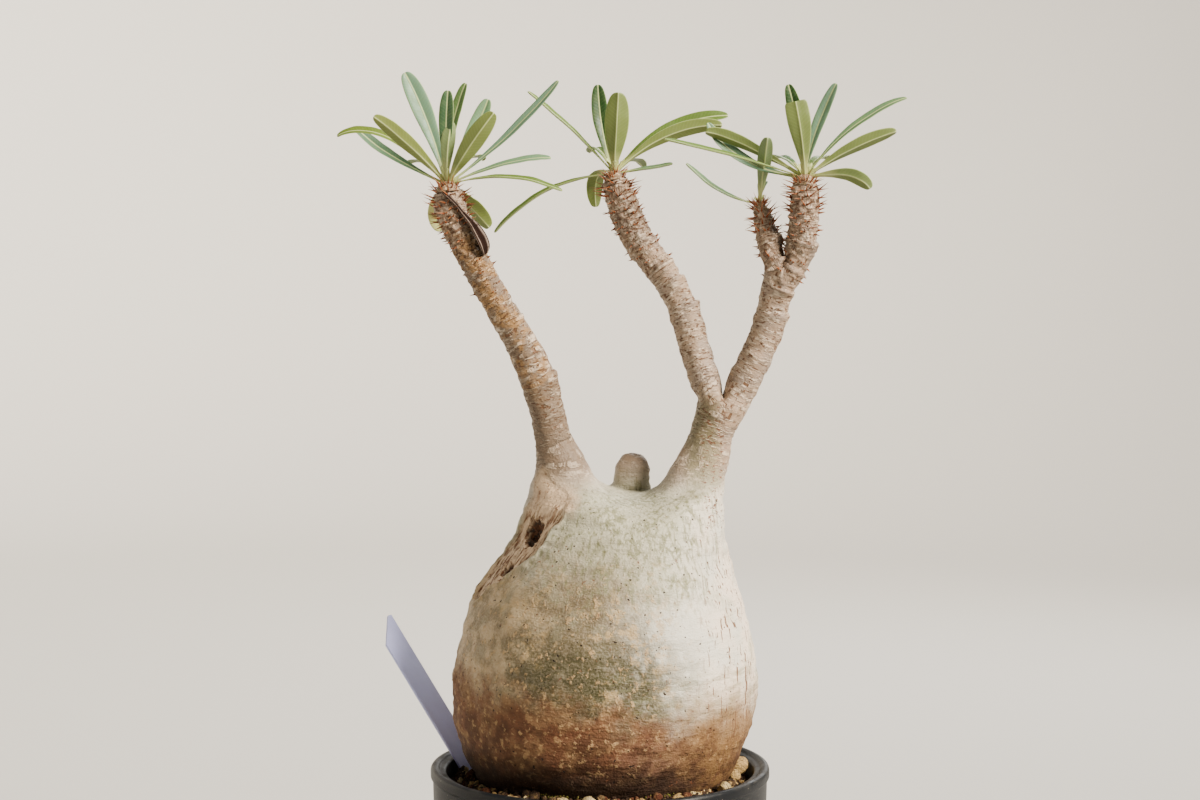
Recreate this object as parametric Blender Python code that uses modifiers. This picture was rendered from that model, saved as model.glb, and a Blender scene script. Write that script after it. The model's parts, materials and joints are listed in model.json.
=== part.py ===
"""Potted pachypodium: caudex with branches, rosettes, gritty mix, pot and blank label.

Lists and sizes are in millimetres, and MM turns them to metres. The origin is the centre
of the pot's underside, +Z is up, and the side with the woody scar faces -Y and -X.
"""
import math
import random

import bmesh
import bpy
from mathutils import Matrix, Vector
from mathutils.bvhtree import BVHTree

MM = 0.001
GAP = 0.3                      # clearance between pieces that touch
MERGE = 0.00001                # merge distance of the modifiers, in metres
MODEL = "potted_pachypodium"

# Pot: a 15 cm moulded pot with a hanging collar and a foot ring
RIM_RADIUS = 75.0
POT_HEIGHT = 130.5
MOUTH_RADIUS = 68.4
BASE_RADIUS = 54.0
WALL = 1.6
COLLAR_HEIGHT = 21.0
LIP_HEIGHT = 4.6
FLOOR = 3.0
FOOT_WIDTH = 6.0
PAD_RADIUS = 28.0
CHANNEL_HEIGHT = 1.5
DRAIN_COUNT = 6
DRAIN_RADIUS = 4.0
POT_SIDES = 48

# Mix: fills the pot to just below its rim, with loose stones on top
SOIL_LEVEL = 123.0
SOIL_MOUND = 2.0               # rise of the mix from the wall to the caudex
SOIL_BANK = 2.6                # rise of the stones towards the front
SOIL_SIDES = 32
STONE_COUNT = 44
STONE_SMALL, STONE_BIG = 2.6, 4.2
STONE_SEED = 11
# Stones that stand out: across, back, height, radius
SHOWN_STONES = ((61.5, 8, 127.5, 4.6), (59, -6, 126.5, 3.8), (53.5, -33, 126.5, 3.8),
                (-5, -60.5, 127, 3.4), (-15, -59.5, 126.5, 3.2), (33, -53, 126.3, 3.6),
                (-36, -50, 124.5, 3.2))

# Caudex, from the root's end up: height, centre across, half width
CAUDEX_RINGS = ((68, 0.5, 12), (79, 0.8, 24), (92, 1.0, 33), (105, 1.0, 42.5), (117, 1.0, 52),
                (131, 1.2, 59.6), (147, 1.5, 65.8), (164, 2.1, 68.2), (181, 2.6, 66.8),
                (198, 2.6, 62.8), (213, 4.0, 56.0), (225, 7.2, 49.6), (235, 9.9, 45.2))
ROOT_AT_SOIL = 55.4            # half width at the surface of the mix
DEPTH_RATIO = 0.93
CAP_COLUMNS, CAP_ROWS = 6, 4   # faces of the cap that the limbs grow from
CAP_CENTRE, CAP_HALF_WIDTH, CAP_HALF_DEPTH = 12.3, 42.6, 37.0
SADDLE_HEIGHT, SADDLE_SHIFT, SHOULDER_RISE, SLOPE_DROP = 249.2, 0.12, 11.5, 9.0
SHOULDER_TOP = 259.0

# Limbs, from the root's side up: across, back, height, radius
LEFT_BRANCH = ((-17.2, -3, 264, 11.2), (-19.8, -3.5, 271, 8.7), (-21.2, -4, 279, 7.6),
               (-23.4, -5, 288, 7.4), (-26, -6, 297, 7.4), (-28.6, -7, 305.5, 8.1),
               (-32.6, -8, 314, 7.3), (-36.6, -8.5, 321, 6.9), (-40.8, -9, 328.5, 6.5),
               (-45.4, -9.5, 336.5, 6.2), (-50, -10, 344.5, 6.2), (-54.8, -10.5, 353, 6.2),
               (-59.4, -11, 362, 6.3), (-62.6, -11.5, 369, 6.5), (-64.8, -12, 376, 6.6),
               (-65.6, -12, 382.5, 6.0))
TRUNK = ((45.2, 0, 264, 11.6), (47.8, 0, 271, 9.7), (49.2, 0, 278, 9.2), (51.4, 0, 284, 9.8),
         (53.8, 0, 289.5, 11.4))
CENTRE_BRANCH = ((47.4, 1, 297, 6.9), (44.8, 3, 304.5, 6.8), (42.6, 4.5, 312, 6.7),
                 (40.4, 6, 320, 6.7), (38, 7.5, 328, 6.5), (34.6, 9, 336.5, 6.4),
                 (29.6, 10.5, 345, 6.3), (23.2, 11.5, 353.5, 6.6), (16.8, 12.5, 362, 7.0),
                 (12.7, 13, 371, 6.9), (8.8, 13.5, 380, 6.6), (6.8, 14, 388.3, 5.4))
RIGHT_BRANCH = ((61, -1, 297, 7.2), (64.7, -2, 303.5, 7.3), (68.4, -3, 311, 7.0),
                (71.8, -4, 319, 6.8), (74.2, -5, 327.5, 6.7), (75.6, -6, 336, 6.8),
                (77.6, -6.5, 342.5, 7.2), (79.8, -7, 348.5, 8.4))
MAIN_ARM = ((86.2, -8.5, 356.5, 6.8), (88.0, -9.5, 364, 6.4), (88.4, -10, 372, 6.2),
            (88.6, -10, 380, 6.2), (88.6, -10, 385.5, 5.6))
SMALL_ARM = ((74.6, -5, 356.5, 5.5), (73.4, -2, 363, 4.8), (72.0, 1, 369, 4.2),
             (70.6, 4, 375, 3.4))
STUB = ((14.2, 25, 250.5, 8.6), (14.4, 25.2, 257, 8.0), (14.6, 25.5, 263, 7.6),
        (14.6, 25.5, 266.2, 5.6))
RIGHT_BRANCH_TWIST = 30.0      # degrees, so that its fork opens to the left and right

# Hollows in the woody scar: across, back, height, then half sizes
HOLLOWS = ((-30.5, -20, 237, 6.5, 6.5, 7.5), (-41.5, -20, 221.5, 5.0, 5.0, 7.0),
           (-30.5, -13, 257, 3.0, 3.0, 3.6))

# Spines: in pairs, thickest round the crowns
SPINE_LENGTH, SPINE_RADIUS, SPINE_ROOT = 4.2, 0.5, 1.0
SPINE_SEED = 5
SPINE_PAIRS = ((LEFT_BRANCH, 24, 46.0), (CENTRE_BRANCH, 22, 44.0), (MAIN_ARM, 12, 22.0),
               (RIGHT_BRANCH, 8, 30.0), (SMALL_ARM, 7, 12.0))
LEAF_CLEARANCE = 0.9

# Leaves: tip and bend point from the crown (across, back, up), width, turn.
# A turn above 0 shows the upper face to -Y, one below 0 the underside.
LEAF_THICKNESS = 0.8
LEAF_FOLD = 0.16
LEAF_SHARES = (0.0, 0.2, 0.42, 0.64, 0.82, 0.94, 1.0)
BLUNT_TIP = 0.3                # width of the last row, as a share
LEFT_LEAVES = (
    ((-19, 10, 49), (-9, 8, 27), 9.0, 0.8), ((-31, -6, 29), (-14, -4, 15), 7.4, -0.7),
    ((-48, 6, 21), (-27, 4, 21), 6.0, 0.4), ((-42, 18, 26), (-25, 14, 13), 5.5, 0.5),
    ((1, -7, 40), (0, -6, 22), 6.4, 0.7), ((8, 5, 44), (2, 4, 24), 5.2, 0.6),
    ((3, -3, 26), (4, -4, 14), 4.4, -0.5), ((17, 18, 38), (9, 12, 19), 7.4, 0.8),
    ((21, -15, 30), (9, -10, 14), 8.8, -0.9), ((48, 3, 45), (27, 2, 22), 5.2, 0.5),
    ((45, -8, 11), (26, -7, 9), 5.2, 0.4), ((50, -15, -3), (26, -10, 3), 4.6, 0.3),
    ((14, 18, -14), (6, 14, -1), 8.0, -0.5), ((-8, 17, -15), (-6, 14, 0), 5.6, -0.5),
    ((-8, 34, 24), (-4, 18, 17), 7.0, 0.0), ((-20, 28, 10), (-11, 17, 10), 5.5, 0.1),
    ((14, 33, 12), (8, 18, 12), 6.0, 0.0))
CENTRE_LEAVES = (
    ((-7, 9, 40), (-5, 8, 20), 7.4, 0.8), ((2, -12, 35), (1, -8, 16), 10.8, -1.0),
    ((-38, -3, 36), (-18, -2, 19), 4.6, 0.3), ((51, 6, 26), (23, 5, 19), 8.2, 0.6),
    ((-53, 4, -26), (-29, 4, -7), 5.2, 0.3), ((-8, 17, -14), (-6, 14, 1), 6.8, -0.5),
    ((26, -8, 4), (13, -6, 2), 4.4, 0.3), ((3, 31, 22), (2, 17, 15), 7.0, 0.0),
    ((-11, 30, 11), (-6, 16, 11), 6.0, 0.0), ((14, 30, 4), (8, 17, 7), 6.0, 0.0))
RIGHT_LEAVES = (
    ((-6, -10, 35), (-2, -8, 17), 9.8, -1.0), ((14, 5, 41), (5, 4, 20), 5.8, 0.6),
    ((45, 8, 35), (21, 5, 22), 4.8, 0.4), ((39, -4, 20), (19, -3, 12), 6.8, -0.6),
    ((27, -11, -5), (17, -8, 1), 6.6, -0.7), ((-43, -8, 20), (-25, -6, 14), 6.6, -0.6),
    ((-61, -17, 16), (-33, -11, 10), 4.8, 0.3), ((-42, 4, 24), (-26, 3, 8), 5.6, 0.7),
    ((5, 31, 24), (3, 17, 16), 7.0, 0.0), ((13, 30, 9), (7, 17, 9), 6.4, 0.0),
    ((-12, 29, 9), (-7, 16, 9), 6.2, 0.0))
SMALL_LEAVES = (
    ((1, 7, 28), (0, 6, 13), 6.2, -0.7), ((-32, 4, 18), (-17, 3, 6), 4.8, 0.3),
    ((-3, 22, 12), (-1, 12, 9), 5.0, 0.0))
CROWN_HEIGHT, CROWN_RISE = 6.5, 3.0

# Dried leaf, beside the left crown: path from its root to its tip
DRIED_PATH = ((-67.0, -20.5, 380.5), (-57.5, -21.5, 371), (-47.0, -16.5, 356))
DRIED_WIDTH, DRIED_FOLD = 6.4, 0.5

# Label: a blank stake that leans out between the caudex and the pot's rim
LABEL_WIDTH, LABEL_LENGTH, LABEL_THICKNESS = 15.3, 120.0, 1.0
LABEL_BURIED, LABEL_POINT = 33.0, 18.0
LABEL_CUT_ACROSS, LABEL_CUT_ALONG = 13.0, 14.0
LABEL_AT_SOIL = (-55.5, 18.5, 120.0)
LABEL_ACROSS = (0.524, 0.852, 0.0)
LABEL_ALONG = (-50.5, 31.0, 75.0)

PLASTIC_BLACK = ("pot_plastic", (0.026, 0.029, 0.034), 0.42)
GRIT = ("pumice_mix", (0.40, 0.27, 0.15), 0.95)
BARK = ("caudex_bark", (0.50, 0.46, 0.37), 0.85)
LEAF_GREEN = ("leaf_green", (0.17, 0.26, 0.12), 0.55)
LEAF_BROWN = ("dried_leaf_brown", (0.08, 0.04, 0.025), 0.8)
LABEL_WHITE = ("label_plastic", (0.70, 0.70, 0.86), 0.4)


def clear_scene():
    """Remove every object that the file opens with."""
    for obj in list(bpy.data.objects):
        bpy.data.objects.remove(obj)


def new_collection(name):
    """Add a collection to the scene."""
    collection = bpy.data.collections.new(name)
    bpy.context.scene.collection.children.link(collection)
    return collection


def principled(name, colour, roughness):
    """Make a material with one Principled BSDF."""
    material = bpy.data.materials.new(name)
    material.use_nodes = True
    shader = material.node_tree.nodes["Principled BSDF"]
    shader.inputs["Base Color"].default_value = (*colour, 1.0)
    shader.inputs["Roughness"].default_value = roughness
    shader.inputs["Metallic"].default_value = 0.0
    material.diffuse_color = (*colour, 1.0)
    return material


def add_object(name, mesh, collection, material=None):
    """Add a mesh or curve as an object, with its material."""
    obj = bpy.data.objects.new(name, mesh)
    collection.objects.link(obj)
    if material is not None:
        mesh.materials.append(material)
    return obj


def mesh_from(bm, name):
    """Write a bmesh to a new mesh and free it."""
    mesh = bpy.data.meshes.new(name)
    bm.to_mesh(mesh)
    bm.free()
    return mesh


def remove_objects(collection):
    """Remove a collection and the objects in it."""
    for obj in list(collection.objects):
        bpy.data.objects.remove(obj)
    bpy.data.collections.remove(collection)


def apply_modifiers(obj):
    """Replace an object's mesh with what its modifiers make of it."""
    graph = bpy.context.evaluated_depsgraph_get()
    mesh = bpy.data.meshes.new_from_object(obj.evaluated_get(graph))
    obj.modifiers.clear()
    obj.data = mesh


def boolean(obj, operation, collection):
    """Add an exact Boolean with all the objects of a collection."""
    modifier = obj.modifiers.new(operation.lower(), "BOOLEAN")
    modifier.operation = operation
    modifier.operand_type = "COLLECTION"
    modifier.collection = collection
    modifier.solver = "EXACT"


def fuse(obj, collection):
    """Join a collection's objects to one body, and keep only its outer surface."""
    boolean(obj, "UNION", collection)
    apply_modifiers(obj)
    remove_objects(collection)
    keep_largest_body(obj)


def islands(bm):
    """Split a bmesh's faces into the groups that hang together."""
    left = set(bm.faces)
    groups = []
    while left:
        stack = [left.pop()]
        group = []
        while stack:
            face = stack.pop()
            group.append(face)
            for edge in face.edges:
                for near in edge.link_faces:
                    if near in left:
                        left.remove(near)
                        stack.append(near)
        groups.append(group)
    return groups


def keep_largest_body(obj):
    """Drop loose scraps and sealed hollows, and split the faces in triangles."""
    bm = bmesh.new()
    bm.from_mesh(obj.data)
    groups = sorted(islands(bm), key=len)
    for group in groups[:-1]:
        bmesh.ops.delete(bm, geom=group, context="FACES")
    bmesh.ops.triangulate(bm, faces=bm.faces)
    bm.to_mesh(obj.data)
    bm.free()


def smooth(obj, degrees=35.0):
    """Shade smooth, with sharp edges where the surface turns."""
    obj.data.shade_smooth()
    obj.data.set_sharp_from_angle(angle=math.radians(degrees))


def turned(name, profile, sides, collection, material):
    """Turn a profile of (radius, height) round Z, from the inner centre out and down."""
    bm = bmesh.new()
    points = [bm.verts.new((radius * MM, 0, height * MM)) for radius, height in profile]
    for first, second in zip(points, points[1:]):
        bm.edges.new((first, second))
    obj = add_object(name, mesh_from(bm, name), collection, material)
    screw = obj.modifiers.new("turn", "SCREW")
    screw.steps = sides
    screw.render_steps = sides
    screw.use_merge_vertices = True
    screw.merge_threshold = MERGE
    screw.use_smooth_shade = False
    return obj


def wall_radius(height, inset=0.0):
    """Inner radius of the pot at a height."""
    share = (height - FLOOR) / (POT_HEIGHT - FLOOR)
    low = BASE_RADIUS - WALL
    return low + (MOUTH_RADIUS - low) * share - inset


def make_pot(collection, cutters):
    """The pot: floor, tapered wall, rolled rim, hanging collar and foot ring."""
    rim_top = POT_HEIGHT
    collar_foot = POT_HEIGHT - COLLAR_HEIGHT
    lip_foot = POT_HEIGHT - LIP_HEIGHT
    skirt = RIM_RADIUS - 1.0
    foot = BASE_RADIUS + 1.0
    profile = (
        (0, FLOOR), (wall_radius(FLOOR) - 1.5, FLOOR), (wall_radius(FLOOR + 1.5), FLOOR + 1.5),
        (wall_radius(rim_top - 2.2), rim_top - 2.2), (MOUTH_RADIUS + 0.6, rim_top - 1.6),
        (MOUTH_RADIUS + 2.6, rim_top - 1.4), (MOUTH_RADIUS + 3.2, rim_top - 0.5),
        (RIM_RADIUS - 1.9, rim_top), (RIM_RADIUS - 0.5, rim_top - 0.4),
        (RIM_RADIUS, rim_top - 1.5), (RIM_RADIUS, lip_foot), (skirt, lip_foot - 0.5),
        (skirt - 0.4, collar_foot), (skirt - WALL - 0.4, collar_foot),
        (skirt - WALL, rim_top - 2.8), (wall_radius(rim_top - 2.8) + WALL, rim_top - 2.8),
        (foot, 1.0), (foot - 1.0, 0), (foot - FOOT_WIDTH, 0),
        (foot - FOOT_WIDTH - 1.0, CHANNEL_HEIGHT), (PAD_RADIUS + 1.0, CHANNEL_HEIGHT),
        (PAD_RADIUS, 0), (0, 0))
    pot = turned("pot", profile, POT_SIDES, collection, principled(*PLASTIC_BLACK))
    ring = (foot - FOOT_WIDTH + PAD_RADIUS) / 2
    for count in range(DRAIN_COUNT):
        angle = (count + 0.5) * math.tau / DRAIN_COUNT
        bm = bmesh.new()
        bmesh.ops.create_cone(bm, cap_ends=True, segments=8, radius1=DRAIN_RADIUS * MM,
                              radius2=DRAIN_RADIUS * MM, depth=4 * FLOOR * MM)
        drain = add_object(f"drain_{count + 1}", mesh_from(bm, "drain"), cutters)
        drain.location = (ring * math.cos(angle) * MM, ring * math.sin(angle) * MM, 0)
        drain.hide_render = True
        drain.display_type = "WIRE"
    boolean(pot, "DIFFERENCE", cutters)
    return pot


def disc_point(s, t):
    """Place in a unit disc of the place (s, t) in a square from -1 to 1."""
    return s * math.sqrt(1 - t * t / 2), t * math.sqrt(1 - s * s / 2)


def cap_share(place):
    """Share, from -1 to 1, of a grid place of the cap."""
    return -1 + 2 * place[0] / CAP_COLUMNS, -1 + 2 * place[1] / CAP_ROWS


def cap_rim():
    """Grid places round the cap's edge, counter-clockwise from the front left."""
    front = [(i, 0) for i in range(CAP_COLUMNS)]
    right = [(CAP_COLUMNS, j) for j in range(CAP_ROWS)]
    back = [(i, CAP_ROWS) for i in range(CAP_COLUMNS, 0, -1)]
    left = [(0, j) for j in range(CAP_ROWS, 0, -1)]
    return front + right + back + left


def swell(sides):
    """How much wider a cage of so many sides is than its smooth surface."""
    return 3 / (2 + math.cos(math.tau / sides))


def bridge(bm, low, high):
    """Join two rings of as many vertices with a band of faces."""
    for k in range(len(low)):
        after = (k + 1) % len(low)
        bm.faces.new((low[k], low[after], high[after], high[k]))


def cap_height(s, t):
    """Height of the cap: a saddle between the limbs, falling to the front and back."""
    ridge = SADDLE_HEIGHT + SHOULDER_RISE * abs(s - SADDLE_SHIFT) ** 0.8
    return min(ridge, SHOULDER_TOP) - SLOPE_DROP * t * t


def caudex_cage(bm):
    """Rings of the caudex and its cap, whose vertices it gives by grid place."""
    places = cap_rim()
    grow = swell(len(places))
    rings = []
    for height, centre, half_width in CAUDEX_RINGS:
        ring = []
        for place in places:
            u, v = disc_point(*cap_share(place))
            ring.append(bm.verts.new(((centre + half_width * grow * u) * MM,
                                      half_width * DEPTH_RATIO * grow * v * MM, height * MM)))
        rings.append(ring)
    grid = {}
    for i in range(CAP_COLUMNS + 1):
        for j in range(CAP_ROWS + 1):
            s, t = cap_share((i, j))
            u, v = disc_point(s, t)
            grid[i, j] = bm.verts.new(((CAP_CENTRE + CAP_HALF_WIDTH * grow * u) * MM,
                                       CAP_HALF_DEPTH * grow * v * MM, cap_height(s, t) * MM))
    rings.append([grid[place] for place in places])
    for low, high in zip(rings, rings[1:]):
        bridge(bm, low, high)
    bm.faces.new(list(reversed(rings[0])))
    return grid


def tangents(stations):
    """Direction of a limb at each of its stations."""
    points = [Vector(station[:3]) for station in stations]
    ways = []
    for k in range(len(points)):
        ways.append((points[min(k + 1, len(points) - 1)] - points[max(k - 1, 0)]).normalized())
    return ways


def limb(bm, loop, stations, first_angle, twist=0.0):
    """Grow a limb from a loop of vertices through its stations, and give its last ring."""
    sides = len(loop)
    grow = swell(sides)
    for k, (station, way) in enumerate(zip(stations, tangents(stations))):
        across = (Vector((1, 0, 0)) - way * way.x).normalized()
        back = way.cross(across)
        turn = first_angle + twist * (k + 1) / len(stations)
        ring = []
        for side in range(sides):
            angle = math.radians(turn) + side * math.tau / sides
            out = across * math.cos(angle) + back * math.sin(angle)
            ring.append(bm.verts.new((Vector(station[:3]) + out * station[3] * grow) * MM))
        bridge(bm, loop, ring)
        loop = ring
    return loop


def close_tip(bm, ring, flat=True):
    """Close a limb's end, flat and sharp where a rosette sits on it."""
    face = bm.faces.new(ring)
    if flat:
        crease = bm.edges.layers.float.get("crease_edge") or bm.edges.layers.float.new("crease_edge")
        for edge in face.edges:
            edge[crease] = 1.0


def close_grid(bm, grid, open_faces):
    """Fill the cap's faces, apart from those that limbs grow from."""
    for i in range(CAP_COLUMNS):
        for j in range(CAP_ROWS):
            if (i, j) not in open_faces:
                bm.faces.new((grid[i, j], grid[i + 1, j], grid[i + 1, j + 1], grid[i, j + 1]))


def block_loop(grid, i, j):
    """Loop round a block of two by two cap faces, from its front left corner."""
    places = ((i, j), (i + 1, j), (i + 2, j), (i + 2, j + 1), (i + 2, j + 2), (i + 1, j + 2),
              (i, j + 2), (i, j + 1))
    return [grid[place] for place in places]


def stem_cage():
    """Coarse cage of the whole grown stem: caudex, limbs, forks and stub."""
    bm = bmesh.new()
    bm.edges.layers.float.new("crease_edge")
    grid = caudex_cage(bm)
    limb_faces = {(i, j) for i in (0, 1, 4, 5) for j in (1, 2)}
    stub_faces = {(2, 3), (3, 3)}
    close_grid(bm, grid, limb_faces | stub_faces)
    close_tip(bm, limb(bm, block_loop(grid, 0, 1), LEFT_BRANCH, -135))
    stub_loop = [grid[place] for place in ((2, 3), (3, 3), (4, 3), (4, 4), (3, 4), (2, 4))]
    close_tip(bm, limb(bm, stub_loop, STUB, -150), flat=False)

    top = limb(bm, block_loop(grid, 4, 1), TRUNK, -135)
    crotch = bm.verts.new(sum((v.co for v in top), Vector()) / len(top) + Vector((0, 0, 0.5 * MM)))
    left = [top[0], top[1], crotch, top[5], top[6], top[7]]
    right = [top[1], top[2], top[3], top[4], top[5], crotch]
    close_tip(bm, limb(bm, left, CENTRE_BRANCH, -120))
    fork = limb(bm, right, RIGHT_BRANCH, -120, RIGHT_BRANCH_TWIST)
    close_tip(bm, limb(bm, [fork[0], fork[3], fork[4], fork[5]], SMALL_ARM, -45))
    close_tip(bm, limb(bm, fork[:4], MAIN_ARM, -135))
    for spare in (grid[1, 2], grid[5, 2]):
        bm.verts.remove(spare)
    bmesh.ops.recalc_face_normals(bm, faces=bm.faces)
    return mesh_from(bm, "stem_cage")


def make_stem(collection):
    """The grown stem without its spines, with the scar's hollows cut in."""
    stem = add_object("caudex_and_branches", stem_cage(), collection, principled(*BARK))
    soft = stem.modifiers.new("round", "SUBSURF")
    soft.levels = 1
    soft.render_levels = 1
    hollows = new_collection("hollows")
    for x, y, z, rx, ry, rz in HOLLOWS:
        bm = bmesh.new()
        bmesh.ops.create_uvsphere(bm, u_segments=10, v_segments=6, radius=1.0)
        bmesh.ops.scale(bm, vec=(rx * MM, ry * MM, rz * MM), verts=bm.verts)
        bmesh.ops.translate(bm, vec=(x * MM, y * MM, z * MM), verts=bm.verts)
        add_object("hollow", mesh_from(bm, "hollow"), hollows)
    boolean(stem, "DIFFERENCE", hollows)
    apply_modifiers(stem)
    remove_objects(hollows)
    keep_largest_body(stem)
    return stem


def surface_tree(obj):
    """Search tree of an object's surface, at its place in the world."""
    graph = bpy.context.evaluated_depsgraph_get()
    bm = bmesh.new()
    bm.from_mesh(obj.evaluated_get(graph).to_mesh())
    bm.transform(obj.matrix_world)
    tree = BVHTree.FromBMesh(bm)
    bm.free()
    return tree


def distance(tree, point):
    """Distance in millimetres from a point to a surface."""
    return tree.find_nearest(point)[3] / MM


def crown_frame(stations):
    """Centre and axis of the flat tip of a limb."""
    return Vector(stations[-1][:3]), tangents(stations)[-1]


def bend(path, share):
    """Point of the curve that leaves the first point, and passes the middle one."""
    first, middle, last = (Vector(point) for point in path)
    pull = middle * 2 - (first + last) / 2
    return first * (1 - share) ** 2 + pull * 2 * share * (1 - share) + last * share ** 2


def blade_width(share, width):
    """Half width of a blade: a narrow foot, widest past its middle, and a blunt tip."""
    foot = 0.28 if share < 0.5 else BLUNT_TIP
    return width / 2 * max(foot, math.sin(math.pi * min(share, 1.0) ** 1.45) ** 0.6)


def blade(name, path, width, turn, fold, collection):
    """A thin arched blade along a path, folded at its midrib and split in triangles."""
    points = [bend(path, share) for share in LEAF_SHARES]
    ways = tangents(points)
    flat = Vector((points[-1].x - points[0].x, points[-1].y - points[0].y, 0)).normalized()
    viewer = Vector((0, -1, 0)) * (1 if turn > 0 else -1)
    bm = bmesh.new()
    rows = []
    for k, (point, way) in enumerate(zip(points, ways)):
        inner = Vector((0, 0, 1)) * way.dot(flat) - flat * way.z
        normal = inner.normalized() * (1 - abs(turn)) + viewer * abs(turn)
        normal = (normal - way * normal.dot(way)).normalized()
        side = way.cross(normal)
        half = blade_width(LEAF_SHARES[k], width)
        lift = normal * half * 2 * fold
        rows.append([bm.verts.new(place * MM) for place in
                     (point - side * half + lift, point, point + side * half + lift)])
    for low, high in zip(rows, rows[1:]):
        for a in (0, 1):
            bm.faces.new((low[a], low[a + 1], high[a + 1]))
            bm.faces.new((low[a], high[a + 1], high[a]))
    leaf = add_object(name, mesh_from(bm, name), collection)
    thick = leaf.modifiers.new("thickness", "SOLIDIFY")
    thick.thickness = LEAF_THICKNESS * MM
    thick.offset = 0.0
    return leaf


def make_rosette(name, stations, leaves, collection):
    """A crown of leaves on a short core that sits on its limb's flat tip."""
    foot, axis = crown_frame(stations)
    radius = stations[-1][3]
    bm = bmesh.new()
    bmesh.ops.create_cone(bm, cap_ends=True, segments=10, radius1=radius * 0.96 * MM,
                          radius2=radius * 0.5 * MM, depth=CROWN_HEIGHT * MM)
    lift = foot + axis * (GAP + CROWN_HEIGHT / 2)
    centre = foot + axis * (GAP + CROWN_RISE)
    turn = Vector((0, 0, 1)).rotation_difference(axis).to_matrix().to_4x4()
    bm.transform(Matrix.Translation(lift * MM) @ turn)
    core = add_object(name, mesh_from(bm, name), collection, principled(*LEAF_GREEN))
    repeats = new_collection(name + "_leaves")
    for count, (tip, middle, width, turned_by) in enumerate(leaves):
        path = (centre, centre + Vector(middle), centre + Vector(tip))
        blade(f"{name}_leaf_{count + 1}", path, width, turned_by, LEAF_FOLD, repeats)
    fuse(core, repeats)
    return core


def make_dried_leaf(collection, stem_tree):
    """The brown curled leaf, drawn back until it lies against its branch."""
    leaf = blade("dried_leaf", DRIED_PATH, DRIED_WIDTH, 0.5, DRIED_FOLD, collection)
    leaf.data.materials.append(principled(*LEAF_BROWN))
    apply_modifiers(leaf)
    nearest = min(distance(stem_tree, vertex.co) for vertex in leaf.data.vertices)
    leaf.data.transform(Matrix.Translation((0, (nearest - GAP - 0.1) * MM, 0)))
    return leaf


def station_point(stations, below):
    """Point and direction on a limb's axis, so far below its tip."""
    points = [Vector(station[:3]) for station in reversed(stations)]
    for high, low in zip(points, points[1:]):
        step = (low - high).length
        if below <= step:
            return high.lerp(low, below / step), (high - low).normalized()
        below -= step
    return points[-1], (points[-2] - points[-1]).normalized()


def add_spine(base, way, length, repeats):
    """One three-sided spine that stands out of the bark."""
    bm = bmesh.new()
    whole = length + SPINE_ROOT
    bmesh.ops.create_cone(bm, cap_ends=True, segments=3, radius1=SPINE_RADIUS * MM,
                          radius2=0, depth=whole * MM)
    centre = base + way * (whole / 2 - SPINE_ROOT) * MM
    turn = Vector((0, 0, 1)).rotation_difference(way).to_matrix().to_4x4()
    bm.transform(Matrix.Translation(centre) @ turn)
    add_object("spine", mesh_from(bm, "spine"), repeats)


def add_spines(stem, stem_tree, leaf_trees):
    """Pairs of spines round the upper limbs, clear of every leaf, fused to the stem."""
    draw = random.Random(SPINE_SEED)
    repeats = new_collection("spines")
    turn = 0.0
    for stations, pairs, reach in SPINE_PAIRS:
        for count in range(pairs):
            below = 1.6 + reach * ((count + 0.5) / pairs) ** 1.5
            point, way = station_point(stations, below)
            turn += 2.4
            across = (Vector((1, 0, 0)) - way * way.x).normalized()
            out = across * math.cos(turn) + way.cross(across) * math.sin(turn)
            hit, normal, _, _ = stem_tree.ray_cast(point * MM, out)
            if hit is None or (hit - point * MM).length > 14 * MM:
                continue
            beside = way.cross(out)
            for sign in (-1, 1):
                length = SPINE_LENGTH * draw.uniform(0.7, 1.1)
                lean = (out + beside * sign * 0.38 + way * draw.uniform(0.0, 0.4)).normalized()
                base = hit + beside * sign * 0.8 * MM
                spots = [base + lean * length * MM * share for share in (0.3, 0.7, 1.0)]
                if all(distance(tree, spot) > LEAF_CLEARANCE for tree in leaf_trees for spot in spots):
                    add_spine(base, lean, length, repeats)
    fuse(stem, repeats)


def stone(at, radius, draw, repeats):
    """One angular stone."""
    bm = bmesh.new()
    bmesh.ops.create_icosphere(bm, subdivisions=1, radius=1.0)
    size = [radius * draw.uniform(0.8, 1.05) for _ in range(3)]
    for vertex in bm.verts:
        vertex.co *= draw.uniform(0.88, 1.08)
    bmesh.ops.scale(bm, vec=[s * MM for s in size], verts=bm.verts)
    spin = Matrix.Rotation(draw.uniform(0, math.tau), 4, "Z")
    tip = Matrix.Rotation(draw.uniform(-0.5, 0.5), 4, "X")
    bm.transform(Matrix.Translation(Vector(at) * MM) @ spin @ tip)
    add_object("stone", mesh_from(bm, "stone"), repeats)


def root_radius(angle):
    """Radius of the caudex at the surface of the mix, seen from the pot's centre."""
    return ROOT_AT_SOIL * math.hypot(math.cos(angle), DEPTH_RATIO * math.sin(angle))


def add_stones(soil):
    """Seeded stones over the ring of soil, sunk to half their height and fused to it."""
    draw = random.Random(STONE_SEED)
    repeats = new_collection("stones")
    for x, y, z, radius in SHOWN_STONES:
        stone((x, y, z), radius, draw, repeats)
    for count in range(STONE_COUNT):
        angle = (count + draw.uniform(0, 0.8)) * math.tau * 0.618
        radius = draw.uniform(STONE_SMALL, STONE_BIG)
        outer = MOUTH_RADIUS - 1.15 * radius - 0.8
        inner = root_radius(angle) + 0.4 * radius
        ring = draw.uniform(inner, outer)
        height = SOIL_LEVEL + draw.uniform(0.0, 0.4) * radius - SOIL_BANK * min(0, math.sin(angle))
        stone((ring * math.cos(angle), ring * math.sin(angle), height), radius, draw, repeats)
    fuse(soil, repeats)


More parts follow.
